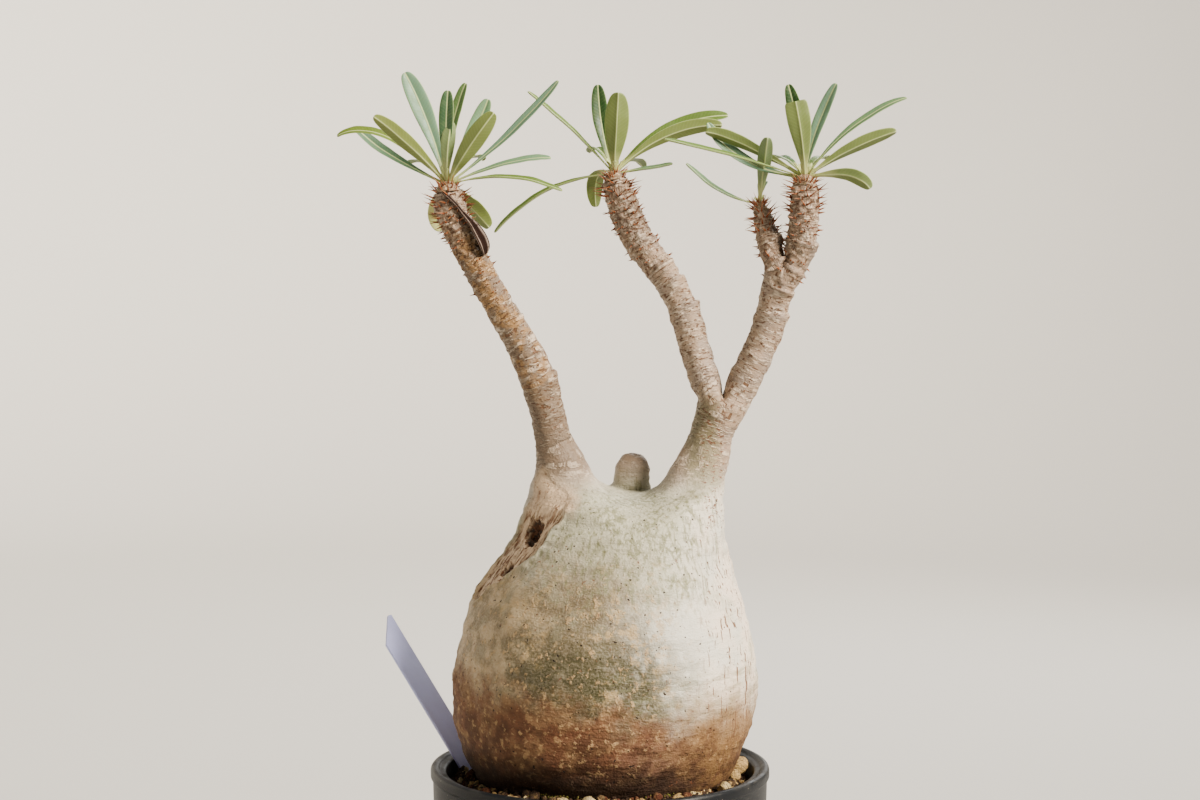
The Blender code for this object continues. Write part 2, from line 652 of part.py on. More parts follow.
def label_matrix():
    """Place of the label: across its width, along its length, then its thickness."""
    across = Vector(LABEL_ACROSS).normalized()
    along = (Vector(LABEL_ALONG) - across * across.dot(Vector(LABEL_ALONG))).normalized()
    columns = Matrix((across, along, across.cross(along))).transposed().to_4x4()
    return Matrix.Translation(Vector(LABEL_AT_SOIL) * MM) @ columns


def make_label(name, grow, collection, material=None):
    """The stake: one cut corner at the top and a point at the bottom."""
    half = LABEL_WIDTH / 2 + grow
    foot = -LABEL_BURIED - grow
    top = LABEL_LENGTH - LABEL_BURIED + grow
    outline = ((-half, foot + LABEL_POINT), (-1.5, foot), (1.5, foot), (half, foot + LABEL_POINT),
               (half, top), (-half + LABEL_CUT_ACROSS, top), (-half, top - LABEL_CUT_ALONG))
    curve = bpy.data.curves.new(name, "CURVE")
    curve.dimensions = "2D"
    curve.fill_mode = "BOTH"
    curve.extrude = (LABEL_THICKNESS / 2 + grow) * MM
    spline = curve.splines.new("POLY")
    spline.points.add(len(outline) - 1)
    for point, (x, y) in zip(spline.points, outline):
        point.co = (x * MM, y * MM, 0, 1)
    spline.use_cyclic_u = True
    drawn = add_object(name + "_outline", curve, collection)
    drawn.matrix_world = label_matrix()
    graph = bpy.context.evaluated_depsgraph_get()
    mesh = bpy.data.meshes.new_from_object(drawn.evaluated_get(graph))
    bm = bmesh.new()
    bm.from_mesh(mesh)
    bmesh.ops.remove_doubles(bm, verts=bm.verts, dist=MERGE)
    bmesh.ops.recalc_face_normals(bm, faces=bm.faces)
    bm.to_mesh(mesh)
    bm.free()
    mesh.materials.clear()
    label = add_object(name, mesh, collection, material)
    label.matrix_world = drawn.matrix_world
    bpy.data.objects.remove(drawn)
    return label


def make_substrate(collection, stem):
    """The mix, with a plain hole for the root and a slot for the label."""
    edge = GAP + 0.15
    floor = FLOOR + GAP
    crest = SOIL_LEVEL + SOIL_MOUND
    profile = ((0, crest), (ROOT_AT_SOIL, crest), (wall_radius(SOIL_LEVEL, edge), SOIL_LEVEL),
               (wall_radius(floor + 2.0, edge), floor + 2.0),
               (wall_radius(floor, edge) - 2.0, floor), (0, floor))
    soil = turned("substrate", profile, SOIL_SIDES, collection, principled(*GRIT))
    apply_modifiers(soil)
    add_stones(soil)
    holes = new_collection("holes")
    root = add_object("root_space", stem.data.copy(), holes)
    swollen = root.modifiers.new("gap", "DISPLACE")
    swollen.strength = (GAP + 0.05) * MM
    swollen.mid_level = 0.0
    make_label("label_space", GAP, holes)
    boolean(soil, "DIFFERENCE", holes)
    apply_modifiers(soil)
    remove_objects(holes)
    keep_largest_body(soil)
    return soil


def main():
    """Build every piece."""
    clear_scene()
    model = new_collection(MODEL)
    cutters = new_collection("cutters")
    pot = make_pot(model, cutters)
    stem = make_stem(model)
    soil = make_substrate(model, stem)
    stem_tree = surface_tree(stem)
    rosettes = [make_rosette("rosette_left", LEFT_BRANCH, LEFT_LEAVES, model),
                make_rosette("rosette_centre", CENTRE_BRANCH, CENTRE_LEAVES, model),
                make_rosette("rosette_right", MAIN_ARM, RIGHT_LEAVES, model),
                make_rosette("rosette_small", SMALL_ARM, SMALL_LEAVES, model)]
    dried = make_dried_leaf(model, stem_tree)
    leaf_trees = [surface_tree(leafy) for leafy in rosettes + [dried]]
    add_spines(stem, stem_tree, leaf_trees)
    label = make_label("plant_label", 0.0, model, principled(*LABEL_WHITE))
    for obj in (pot, stem, soil, dried, label, *rosettes):
        smooth(obj)


if __name__ == "__main__":
    main()
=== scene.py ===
"""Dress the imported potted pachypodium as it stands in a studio.

Lists are in millimetres, as in the part's source, and MM turns them to metres. The origin
is the centre of the pot's underside, +Z is up, and the camera stands on the -Y side.
"""
import json
import math
import random

import bmesh
import bpy
import numpy as np
from bpy.props import FloatProperty, FloatVectorProperty, IntProperty, PointerProperty
from mathutils import Matrix, Vector, noise
from mathutils.bvhtree import BVHTree
from mathutils.kdtree import KDTree

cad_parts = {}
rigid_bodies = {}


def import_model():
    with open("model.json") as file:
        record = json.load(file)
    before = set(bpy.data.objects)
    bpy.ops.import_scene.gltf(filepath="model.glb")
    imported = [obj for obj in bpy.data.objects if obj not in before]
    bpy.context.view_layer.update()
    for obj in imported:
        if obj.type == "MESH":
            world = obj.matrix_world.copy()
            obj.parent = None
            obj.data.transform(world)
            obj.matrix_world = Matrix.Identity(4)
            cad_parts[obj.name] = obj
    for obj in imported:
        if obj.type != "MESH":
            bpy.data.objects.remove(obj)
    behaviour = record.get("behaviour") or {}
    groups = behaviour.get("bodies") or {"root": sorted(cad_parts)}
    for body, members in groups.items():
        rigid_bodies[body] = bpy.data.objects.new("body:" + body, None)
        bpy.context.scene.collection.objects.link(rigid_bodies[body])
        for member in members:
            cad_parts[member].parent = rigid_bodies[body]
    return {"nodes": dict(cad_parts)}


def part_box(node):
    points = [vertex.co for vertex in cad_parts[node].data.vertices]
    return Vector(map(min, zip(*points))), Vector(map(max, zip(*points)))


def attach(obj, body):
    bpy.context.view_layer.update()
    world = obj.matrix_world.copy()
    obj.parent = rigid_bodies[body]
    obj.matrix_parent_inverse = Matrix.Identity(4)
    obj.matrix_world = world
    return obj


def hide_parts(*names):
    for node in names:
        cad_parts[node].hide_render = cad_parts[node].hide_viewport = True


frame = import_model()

bl_info = {
    "name": "Potted Pachypodium",
    "version": (1, 0, 0),
    "blender": (4, 5, 0),
    "location": "3D View > Sidebar > Pachypodium",
    "description": "Adds the visible pieces of a potted swollen-stemmed succulent to its frame",
    "category": "Object",
}

MM = 0.001
BODY = "root"
MERGE = 0.00001                # merge distance of the modifiers, in metres
GOLDEN_TURN = math.radians(137.5)
ACROSS, BACK, UP = (1, 0, 0), (0, 1, 0), (0, 0, 1)
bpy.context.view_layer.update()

# Pot
POT_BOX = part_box("pot")
RIM_RADIUS = POT_BOX[1].x / MM
POT_HEIGHT = POT_BOX[1].z / MM
MOUTH_RADIUS, BASE_RADIUS, WALL = 68.4, 54.0, 1.6
COLLAR_HEIGHT, LIP_HEIGHT, FLOOR = 21.0, 4.6, 3.0
FOOT_WIDTH, PAD_RADIUS, CHANNEL_HEIGHT = 6.0, 28.0, 1.5
DRAIN_COUNT, DRAIN_RADIUS, DRAIN_SIDES = 6, 4.0, 24
POT_SIDES = 160
EDGE_ROUND, EDGE_STEPS = 0.5, 3

# Mix
SOIL_LEVEL, SOIL_MOUND, SOIL_BANK = 123.0, 2.0, 2.6
MIX_SIDES, MIX_RINGS = 120, 8
GRAIN_SEED = 11
SHOWN_STONES = ((61.5, 8, 127.5, 4.6), (59, -6, 126.5, 3.8), (53.5, -33, 126.5, 3.8),
                (-5, -60.5, 127, 3.4), (-15, -59.5, 126.5, 3.2), (33, -53, 126.3, 3.6),
                (-36, -50, 124.5, 3.2))

# Caudex, from the root's end up: height, centre across, half width
CAUDEX_RINGS = ((68, 0.5, 12), (79, 0.8, 24), (92, 1.0, 33), (105, 1.0, 42.5), (117, 1.0, 52),
                (131, 1.2, 59.6), (147, 1.5, 65.8), (164, 2.1, 68.2), (181, 2.6, 66.8),
                (198, 2.6, 62.8), (213, 4.0, 56.0), (225, 7.2, 49.6), (235, 9.9, 45.2))
ROOT_AT_SOIL, DEPTH_RATIO = 55.4, 0.93
CAP_COLUMNS, CAP_ROWS = 6, 4   # faces of the cap that the limbs grow from
CAP_CENTRE, CAP_HALF_WIDTH, CAP_HALF_DEPTH = 12.3, 42.6, 37.0
SADDLE_HEIGHT, SADDLE_SHIFT, SHOULDER_RISE, SLOPE_DROP = 249.2, 0.12, 11.5, 9.0
SHOULDER_TOP = 259.0
LIMBS_START, LIMBS_FULL = 250.0, 266.0     # heights between which caudex turns to limb

# Limbs, from the root's side up: across, back, height, radius
LEFT_BRANCH = ((-17.2, -3, 264, 11.2), (-19.8, -3.5, 271, 8.7), (-21.2, -4, 279, 7.6),
               (-23.4, -5, 288, 7.4), (-26, -6, 297, 7.4), (-28.6, -7, 305.5, 8.1),
               (-32.6, -8, 314, 7.3), (-36.6, -8.5, 321, 6.9), (-40.8, -9, 328.5, 6.5),
               (-45.4, -9.5, 336.5, 6.2), (-50, -10, 344.5, 6.2), (-54.8, -10.5, 353, 6.2),
               (-59.4, -11, 362, 6.3), (-62.6, -11.5, 369, 6.5), (-64.8, -12, 376, 6.6),
               (-65.6, -12, 382.5, 6.0))
TRUNK = ((45.2, 0, 264, 11.6), (47.8, 0, 271, 9.7), (49.2, 0, 278, 9.2), (51.4, 0, 284, 9.8),
         (53.8, 0, 289.5, 11.4))
CENTRE_BRANCH = ((47.4, 1, 297, 6.9), (44.8, 3, 304.5, 6.8), (42.6, 4.5, 312, 6.7),
                 (40.4, 6, 320, 6.7), (38, 7.5, 328, 6.5), (34.6, 9, 336.5, 6.4),
                 (29.6, 10.5, 345, 6.3), (23.2, 11.5, 353.5, 6.6), (16.8, 12.5, 362, 7.0),
                 (12.7, 13, 371, 6.9), (8.8, 13.5, 380, 6.6), (6.8, 14, 388.3, 5.4))
RIGHT_BRANCH = ((61, -1, 297, 7.2), (64.7, -2, 303.5, 7.3), (68.4, -3, 311, 7.0),
                (71.8, -4, 319, 6.8), (74.2, -5, 327.5, 6.7), (75.6, -6, 336, 6.8),
                (77.6, -6.5, 342.5, 7.2), (79.8, -7, 348.5, 8.4))
MAIN_ARM = ((86.2, -8.5, 356.5, 6.8), (88.0, -9.5, 364, 6.4), (88.4, -10, 372, 6.2),
            (88.6, -10, 380, 6.2), (88.6, -10, 385.5, 5.6))
SMALL_ARM = ((74.6, -5, 356.5, 5.5), (73.4, -2, 363, 4.8), (72.0, 1, 369, 4.2),
             (70.6, 4, 375, 3.4))
STUB = ((14.2, 25, 250.5, 8.6), (14.2, 25.1, 256, 8.4), (14.8, 25.3, 261, 7.8),
        (15.6, 25.5, 264.6, 5.8), (16.0, 25.5, 266.6, 2.6))
RIGHT_BRANCH_TWIST = 30.0      # degrees, so that its fork opens to the left and right

# Each limb's stations, the limb that it grows from, and the limb that ends in its crown
LIMBS = {"left": (LEFT_BRANCH, None, "left"), "trunk": (TRUNK, None, None),
         "centre": (CENTRE_BRANCH, "trunk", "centre"), "right": (RIGHT_BRANCH, "trunk", "main"),
         "main": (MAIN_ARM, "right", "main"), "small": (SMALL_ARM, "right", "small"),
         "stub": (STUB, None, None)}
FOOT_DROP = 22.0               # how far below its first station a limb's axis is drawn
AXIS_STEPS = 6
NO_CROWN = 400.0               # mm below the crown, for a limb that has none

# Woody scar: centre line on the left shoulder, with its half width, and its hollows
SCAR_LINE = ((-29, -14, 258, 7), (-25, -21, 247, 13), (-32, -21, 236, 14), (-43, -15, 223, 12),
             (-51, -9, 210, 7))
HOLLOWS = ((-30.5, -20, 237, 6.5, 6.5, 7.5), (-41.5, -20, 221.5, 5.0, 5.0, 7.0),
           (-30.5, -13, 257, 3.0, 3.0, 3.6))
BLUSH = ((-20, -27, 250), (12, 14, 9))     # bare patch beside the scar's top: centre, radii
GRAIN_OF_WOOD = Vector((-0.47, 0.12, -0.87))
STAIN_LEAN = (0.16, 0.0, 1.0)  # the stain above the soil reaches higher on the left

# Knobs of old forks: across, back, height, size, length of their slope
KNOBS = ((20.5, 8, 362.1, 3.0, 7), (27.8, 7.5, 352, 3.2, 7), (33.3, 7, 344.4, 3.0, 6),
         (39, 6, 333.4, 2.8, 10), (-18.8, -8, 305.5, 2.1, 12), (-37, -12, 328, 1.3, 8),
         (24, 19, 348, 1.8, 8), (36, 15, 322, 1.6, 10), (80, 0, 331, 1.4, 9),
         (-52, -3, 338, 1.6, 9), (67, -9, 312, 1.0, 8))
# Warts on the caudex: across, back, height, size, radius
WARTS = ((-66, -14, 173, 1.6, 1.8), (-40, -48, 181, 0.9, 2.0), (-30, -52, 184, 0.8, 1.8),
         (-12, -58, 204, 0.8, 2.6), (4, -62, 176, 0.9, 2.2), (10, -61, 168, 0.8, 2.4),
         (-47, -38, 160, 0.9, 2.2), (38, -48, 149, 0.8, 2.2), (22, -56, 196, 0.7, 1.6),
         (58, 20, 190, 0.9, 2.2), (-20, 58, 180, 0.9, 2.2), (30, 50, 205, 0.8, 2.4))
LEDGE = (15.0, 60.0, 174.5, 0.035)  # level ledge on the right: from, to, height, slope

# Spine cushions: limb, the one below it, and how far down from the crown they reach
CUSHIONS = ((LEFT_BRANCH, (), 60.0), (CENTRE_BRANCH, (), 58.0), (MAIN_ARM, RIGHT_BRANCH, 48.0),
            (SMALL_ARM, (), 21.0))
CUSHION_SEED = 5
CROWN_SPINES = 34              # spines among the leaf feet of each crown

# Leaves: tip and bend point from the crown (across, back, up), width, turn, tone.
# A turn above 0 shows the upper face to -Y. Tone runs from 0 olive over 1 green and
# 2 blue-grey to 3 deep green, which is painted shade for leaves in shadow, and 4 pale.
# Where only part of a leaf shows, its span follows.
LEFT_LEAVES = (
    ((-19, 10, 49), (-9, 8, 27), 9.0, 0.8, 2.0), ((-31, -6, 29), (-14, -4, 15), 7.4, -0.7, 0.0),
    ((-48, 6, 21), (-27, 4, 21), 6.0, 0.4, 0.5), ((-42, 18, 26), (-25, 14, 13), 5.5, 0.5, 2.4),
    ((1, -7, 40), (0, -6, 22), 6.4, 0.7, 2.8), ((8, 5, 44), (2, 4, 24), 5.2, 0.6, 1.2),
    ((2.5, -6, 27), (0.5, -6, 14), 6.2, -0.5, 1.6), ((17, 18, 38), (9, 12, 19), 7.4, 0.8, 1.7),
    ((21, -15, 30), (9, -10, 14), 8.8, -0.9, 0.4), ((48, 3, 45), (27, 2, 22), 5.2, 0.5, 2.0),
    ((45, -8, 11), (26, -7, 9), 5.2, 0.4, 1.7), ((50, -15, -3), (26, -10, 3), 4.6, 0.3, 0.8),
    ((17, 23, -18), (7.5, 19, -7), 9.0, -0.3, 0.5), ((-4, 22, -19.5), (-6, 19, -9), 7.6, 0.8, 4.0),
    ((-8, 34, 24), (-4, 18, 17), 7.0, 0.0, 1.0), ((-20, 28, 10), (-11, 17, 10), 5.5, 0.1, 1.5),
    ((14, 33, 12), (8, 18, 12), 6.0, 0.0, 0.8))
CENTRE_LEAVES = (
    ((-7, 9, 40), (-5, 8, 20), 7.4, 0.8, 3.0), ((2, -12, 35), (1, -8, 16), 10.8, -1.0, 0.7),
    ((-38, -3, 36), (-18, -2, 19), 4.6, 0.3, 0.8), ((51, 6, 26), (23, 5, 19), 7.2, 0.6, 0.8),
    ((48, -1, 21.5), (23, 0, 16.5), 7.2, -0.7, 0.5),
    ((-53, 4, -26), (-29, 4, -7), 5.2, 0.3, 0.7), ((-8, 26, -14), (-7, 21, 0), 7.8, -0.1, 0.6),
    ((26, -8, 4), (13, -6, 2), 4.4, 0.3, 1.5), ((3, 31, 22), (2, 17, 15), 7.0, 0.0, 1.2),
    ((-11, 30, 11), (-6, 16, 11), 6.0, 0.0, 1.0), ((14, 30, 4), (8, 17, 7), 6.0, 0.0, 1.6))
RIGHT_LEAVES = (
    ((-7, -11.5, 40), (-2.5, -9, 19), 10.2, -1.0, 0.8, 0.0, 0.82),
    ((-8.2, -9.4, 39.5), (-3, -6, 19), 6.6, 1.0, 3.0, 0.76, 1.0), ((14, 5, 41), (5, 4, 20), 5.8, 0.6, 2.0),
    ((45, 8, 35), (21, 5, 22), 4.8, 0.4, 1.5), ((39, -4, 20), (19, -3, 12), 6.8, -0.6, 0.8),
    ((27, -11, -5), (17, -8, 1), 6.6, -0.7, 1.1), ((-43, 0, 20), (-25, 1, 14), 6.6, -0.6, 0.8),
    ((-61, -9, 16), (-33, -4, 10), 4.8, 0.3, 0.9), ((-42, 4, 24), (-26, 3, 8), 5.6, 0.7, 2.2),
    ((5, 31, 24), (3, 17, 16), 7.0, 0.0, 1.3), ((13, 30, 9), (7, 17, 9), 6.4, 0.0, 0.9),
    ((-12, 29, 9), (-7, 16, 9), 6.2, 0.0, 1.4))
SMALL_LEAVES = (
    ((2, -22, 28), (1, -13, 15), 6.4, -0.8, 2.0), ((-32, 4, 18), (-17, 3, 6), 4.8, 0.3, 1.6),
    ((4, 20, 10), (2, 12, 8), 4.4, 0.0, 1.2))
LEAF_ROWS = 28
WIDEST = 1.75                  # the higher, the nearer to its tip a leaf is widest
YOUNG_LEAVES = 9               # short ones round each crown's middle
LEAF_COLUMNS = (-1.0, -0.92, -0.66, -0.36, -0.14, 0.0, 0.14, 0.36, 0.66, 0.92, 1.0)
CROWN_HEIGHT, CROWN_RISE, GAP = 5.0, 3.0, 0.3
CROWN_SIDES, CROWN_ROWS = 28, 8
CROWN_SEED, CROWN_RADIUS = 3, 6.0

# Dried leaf, beside the left crown: path from its root to its tip
DRIED_PATH = ((-67.5, -19.0, 382), (-56.8, -17.8, 370.2), (-50.2, -14.2, 355.5))
DRIED_WIDTH, DRIED_WIDEST, DRIED_FOLD, DRIED_RIPPLES = 7.6, 3.0, 0.45, 3

# Label, to tell how far a point is up its length
LABEL_AT_SOIL = (-55.5, 18.5, 120.0)

LIT_POINT = (0.0, 0.0, 0.26)
SWEEP_RADIUS, SWEEP_CURVE, SWEEP_SIDES, SWEEP_STEPS = 1.8, 1.6, 96, 24   # metres
CAMERA_PLACE, CAMERA_PITCH, CAMERA_LENS, SENSOR = (0.0, -1.0, 0.3526), -3.47, 68.37, 36.0


def colour(code):
    """Linear RGBA of an sRGB hex value."""
    shares = [int(code[k:k + 2], 16) / 255 for k in (0, 2, 4)]
    return (*(c / 12.92 if c <= 0.04045 else ((c + 0.055) / 1.055) ** 2.4 for c in shares), 1.0)


def tint(name, description, code):
    """A colour setting, from an sRGB hex value."""
    return FloatVectorProperty(name=name, description=description, default=colour(code),
                               subtype="COLOR", size=4, min=0.0, max=1.0)


def size(name, description, millimetres):
    """A length setting, in metres."""
    return FloatProperty(name=name, description=description, default=millimetres * MM,
                         min=0.0, subtype="DISTANCE", precision=5)


class PotSettings(bpy.types.PropertyGroup):
    """Sizes and colours of the pot."""
    edge: size("Edge radius", "Rounding of the moulded edges", EDGE_ROUND)
    plastic: tint("Plastic", "Charcoal black of the moulded pot", "1b1d20")
    dust: tint("Dust", "Fine dust and dried lime on the plastic", "8d877b")


class MixSettings(bpy.types.PropertyGroup):
    """Sizes and colours of the potting mix."""
    fine: IntProperty(name="Fine grains", description="Number of fine grains", default=1200, min=0)
    coarse: IntProperty(name="Coarse grains", description="Number of coarse grains", default=90,
                        min=0)
    smallest: size("Smallest", "Radius of the finest grains", 0.7)
    middle: size("Middle", "Radius that parts fine grains from coarse ones", 1.7)
    largest: size("Largest", "Radius of the biggest scattered grains", 3.2)
    soil: tint("Soil", "Dark dust between the grains", "2e2118")
    pumice: tint("Pumice", "Pale ochre pumice", "a98f63")
    cream: tint("Light pumice", "Lightest pumice", "b3a27b")
    clay: tint("Baked clay", "Red-brown baked clay", "573322")
    bark: tint("Bark bits", "Dark bark bits", "3a281b")
    moss: tint("Moss", "Yellow-green moss at the front", "66642f")


class StemSettings(bpy.types.PropertyGroup):
    """Sizes and colours of the caudex and its limbs."""
    ridge: size("Ridges", "Height of the caudex's level ridges", 1.0)
    lump: size("Lumps", "Height of the caudex's broad lumps", 1.1)
    wrinkle: size("Wrinkles", "Height of the limbs' cross wrinkles", 0.6)
    rough: size("Roughness", "Height of the bumps below the crowns", 0.8)
    cushion: size("Cushions", "Height of the cushions that carry the spines", 0.7)
    pale: tint("Pale bark", "Grey-white skin of the caudex", "cbc8bc")
    cream: tint("Cream bark", "Warm, light patches", "dfd0be")
    film: tint("Green film", "Thin green film on the upper caudex", "a5a28a")
    scratch: tint("Scratches", "Green-grey scratches and fine cracks", "6e6f4e")
    olive: tint("Olive bark", "Grey-olive skin on the shaded side", "766a53")
    shade: tint("Dark mottling", "Darker mottling of the olive skin", "5e5240")
    tan: tint("Tan bark", "Ochre patches on the shaded side", "bea888")
    algae: tint("Green patches", "Green patches in the middle of the caudex", "454127")
    shoulder: tint("Grey bark", "Purple-grey skin of the shoulder", "93857a")
    cork: tint("Cork", "Buff corky patches", "a8916b")
    ochre: tint("Ochre", "Small buff crusts", "bb9d75")
    rust: tint("Rust", "Rusty brown stain above the soil", "704a34")
    beige: tint("Beige stain", "Paler stain on the right", "80633f")
    umber: tint("Umber", "Darker brown in the stain", "523625")
    # Partly painted shade: the dark band where the caudex meets the mix is partly damp stain, partly the shade
    # there; the pits use the same dark brown
    damp_and_shade: tint("Damp", "Dark line at the soil", "291c13")
    branch: tint("Branch", "Pinkish beige bark of the limbs", "a28d79")
    # Painted shade: darker brown-grey laid over the left limb, which lies in shade
    limb_shade: tint("Dusky bark", "Deeper brown-grey of the left limb", "736352")
    rib: tint("Ribs", "Light ribs across the limbs", "cdbda9")
    fleck: tint("Flecks", "Brown flecks between the ribs", "6f5039")
    orange: tint("Orange", "Orange patches on the left limb", "a87a38")
    wood: tint("Wood", "Bare wood of the scar", "ccb498")
    grain: tint("Wood grain", "Dark lines in the bare wood", "744e33")
    # Partly painted shade: the near-black inside the scar's hollows is partly their dark wood, partly shade that
    # deepens with depth
    hollow: tint("Hollow", "Inside of the scar's hollows", "24170e")


class SpineSettings(bpy.types.PropertyGroup):
    """Sizes and colours of the spines."""
    long: size("Longest", "Length of the spines at the crowns", 6.2)
    short: size("Shortest", "Length of the worn spines lower down", 1.0)
    radius: size("Radius", "Radius at the foot of a spine", 0.36)
    foot: tint("Foot", "Orange-brown at the foot of a spine", "8c4a28")
    point: tint("Point", "Lighter point of a spine", "b08560")


class LeafSettings(bpy.types.PropertyGroup):
    """Sizes and colours of the leaves."""
    thickness: size("Thickness", "Thickness of a blade beside its midrib", 0.6)
    midrib: size("Midrib", "How far the midrib stands out below", 0.35)
    fold: FloatProperty(name="Fold", description="How far the blade folds at its midrib",
                        default=0.16, min=0.0, max=1.0, subtype="FACTOR")
    olive: tint("Olive", "Yellow-olive leaves", "748030")
    green: tint("Green", "Fresh green leaves", "58723a")
    bloom: tint("Blue-grey", "Leaves with a waxy bloom", "6f8d74")
    # Painted shade: this dark green stands in for the shade that some leaves lie in
    deep: tint("Deep green", "Old leaves", "2c4a25")
    under: tint("Underside", "Paler underside", "7f8858")
    vein: tint("Midrib and edge", "Pale midrib and leaf edge", "bcc590")
    foot: tint("Leaf foot", "Pale foot of a leaf", "c5c68c")
    crown: tint("Crown", "Brown-grey skin between the leaves", "86705a")
    scale: tint("Crown flecks", "Pale flecks on the crown's skin", "bda88d")
    dry: tint("Dried leaf", "Dark brown of the dried leaf", "2e1c14")
    ridge: tint("Dried ridges", "Pale ridges of the dried leaf", "93857a")


class LabelSettings(bpy.types.PropertyGroup):
    """Sizes and colours of the label."""
    edge: size("Edge radius", "Rounding of the cut edges", 0.2)
    plastic: tint("Plastic", "Pale lavender sheet", "bfc2ee")
    # Partly painted shade: besides the real smears and specks, this purple-brown darkens the label's lower part
    # as shade and reflection of the caudex
    dirt_and_shade: tint("Dirt", "Brown film near the soil", "7d6a70")


class StageSettings(bpy.types.PropertyGroup):
    """Light, floor and background."""
    floor: tint("Floor", "Pale studio floor", "c2c0bb")
    world: tint("Background", "Pale studio background", "dcdbd8")
    ambient: FloatProperty(name="Ambient", description="Strength of the background light",
                           default=0.45, min=0.0)
    key: FloatProperty(name="Key light", description="Strength of the key light from the right",
                       default=8.0, min=0.0)
    spread: FloatProperty(name="Softness", description="Angle that the key light spreads over",
                          default=math.radians(24), min=0.0, subtype="ANGLE")
    rim: FloatProperty(name="Rim light", description="Power of the light from behind",
                       default=6.0, min=0.0, unit="POWER")


class PlantSettings(bpy.types.PropertyGroup):
    """All settings of the potted plant."""
    pot: PointerProperty(type=PotSettings)
    mix: PointerProperty(type=MixSettings)
    stem: PointerProperty(type=StemSettings)
    spines: PointerProperty(type=SpineSettings)
    leaves: PointerProperty(type=LeafSettings)
    label: PointerProperty(type=LabelSettings)
    stage: PointerProperty(type=StageSettings)


def add_piece(name, mesh, slot, material, *replaced):
    """Link a mesh as a piece that rides on the plant's one body, and stands for CAD nodes."""
    mesh.materials.append(material)
    piece = bpy.data.objects.new(name, mesh)
    bpy.context.scene.collection.objects.link(piece)
    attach(piece, BODY)
    if replaced:
        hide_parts(*replaced)
    return piece


def helper_object(name, mesh):
    """Link an object that is only used to work out a shape."""
    obj = bpy.data.objects.new(name, mesh)
    bpy.context.scene.collection.objects.link(obj)
    return obj


def finished_mesh(obj, *helpers):
    """What an object's modifiers make of it. The object and its helpers are removed."""
    graph = bpy.context.evaluated_depsgraph_get()
    mesh = bpy.data.meshes.new_from_object(obj.evaluated_get(graph))
    for used in (obj, *helpers):
        bpy.data.objects.remove(used)
    return mesh


def mesh_from(bm, name):
    """Write a bmesh to a new mesh and free it."""
    mesh = bpy.data.meshes.new(name)
    bm.to_mesh(mesh)
    bm.free()
    return mesh


def smooth(mesh, degrees=180.0):
    """Shade smooth, with sharp edges where the surface turns further than that."""
    mesh.shade_smooth()
    if degrees < 180.0:
        mesh.set_sharp_from_angle(angle=math.radians(degrees))


def read_vertices(mesh, kind):
    """Places ("co") or normals ("normal") of a mesh's vertices, as rows."""
    values = np.empty(len(mesh.vertices) * 3)
    mesh.vertices.foreach_get(kind, values)
    return values.reshape(-1, 3)


def store(mesh, name, values):
    """Keep a number or a vector for each vertex, which the material reads."""
    kind, key = ("FLOAT", "value") if values.ndim == 1 else ("FLOAT_VECTOR", "vector")
    mesh.attributes.new(name, kind, "POINT").data.foreach_set(key, values.astype(float).ravel())


def ramp(values, low, high):
    """Smooth step from 0 at low to 1 at high."""
    share = np.clip((values - low) / (high - low), 0.0, 1.0)
    return share * share * (3 - 2 * share)


def cloud(points, humps, shift=0.0):
    """Smooth noise, about -1 to 1, with humps of that size in mm (one size or three)."""
    places = points / np.array(humps, float) + shift
    return np.array([noise.noise(place) for place in places.tolist()]) * 1.6


def combined(name, copies):
    """One mesh of many copies of small shapes: (points, faces, matrix, values by vertex)."""
    points, faces, values, first = [], [], [], 0
    for shape, sides, matrix, value in copies:
        turned_shape = shape @ np.array(matrix.to_3x3()).T + np.array(matrix.translation)
        points.append(turned_shape)
        faces.extend([tuple(first + k for k in side) for side in sides])
        values.append(np.broadcast_to(value, (len(shape), 3)))
        first += len(shape)
    mesh = bpy.data.meshes.new(name)
    mesh.from_pydata((np.concatenate(points) * MM).tolist(), [], faces)
    store(mesh, "tint", np.concatenate(values))
    return mesh


def add_node(tree, kind, inputs=(), **settings):
    """Add a shader node with its settings, its inputs' values and what is linked to them."""
    node = tree.nodes.new(kind)
    for name, value in settings.items():
        setattr(node, name, value)
    for key, value in dict(inputs).items():
        if isinstance(value, bpy.types.NodeSocket):
            tree.links.new(value, node.inputs[key])
        else:
            node.inputs[key].default_value = value
    return node


def new_material(name, roughness, ior):
    """A material with its tree and Principled shader."""
    material = bpy.data.materials.new(name)
    material.use_nodes = True
    shader = material.node_tree.nodes["Principled BSDF"]
    shader.inputs["Roughness"].default_value = roughness
    shader.inputs["IOR"].default_value = ior
    return material, material.node_tree, shader


def millimetres(tree):
    """The surface's own place in the frame, in mm."""
    place = add_node(tree, "ShaderNodeTexCoord").outputs["Object"]
    return add_node(tree, "ShaderNodeVectorMath", {0: place, 3: 1 / MM}, operation="SCALE").outputs[0]


def patches(tree, place, humps, low, high, stretch=(1, 1, 1), within=1.0, detail=3.0):
    """Mask of uneven patches about so many mm big, where noise passes from low to high."""
    laid = add_node(tree, "ShaderNodeMapping",
                    {"Vector": place, "Scale": [1 / (humps * share) for share in stretch]})
    field = add_node(tree, "ShaderNodeTexNoise", {"Vector": laid.outputs[0], "Scale": 1.0,
                                                  "Detail": detail, "Roughness": 0.58})
    return add_node(tree, "ShaderNodeMapRange", {"Value": field.outputs[0], "From Min": low,
                                                 "From Max": high, "To Max": within},
                    interpolation_type="SMOOTHSTEP").outputs[0]


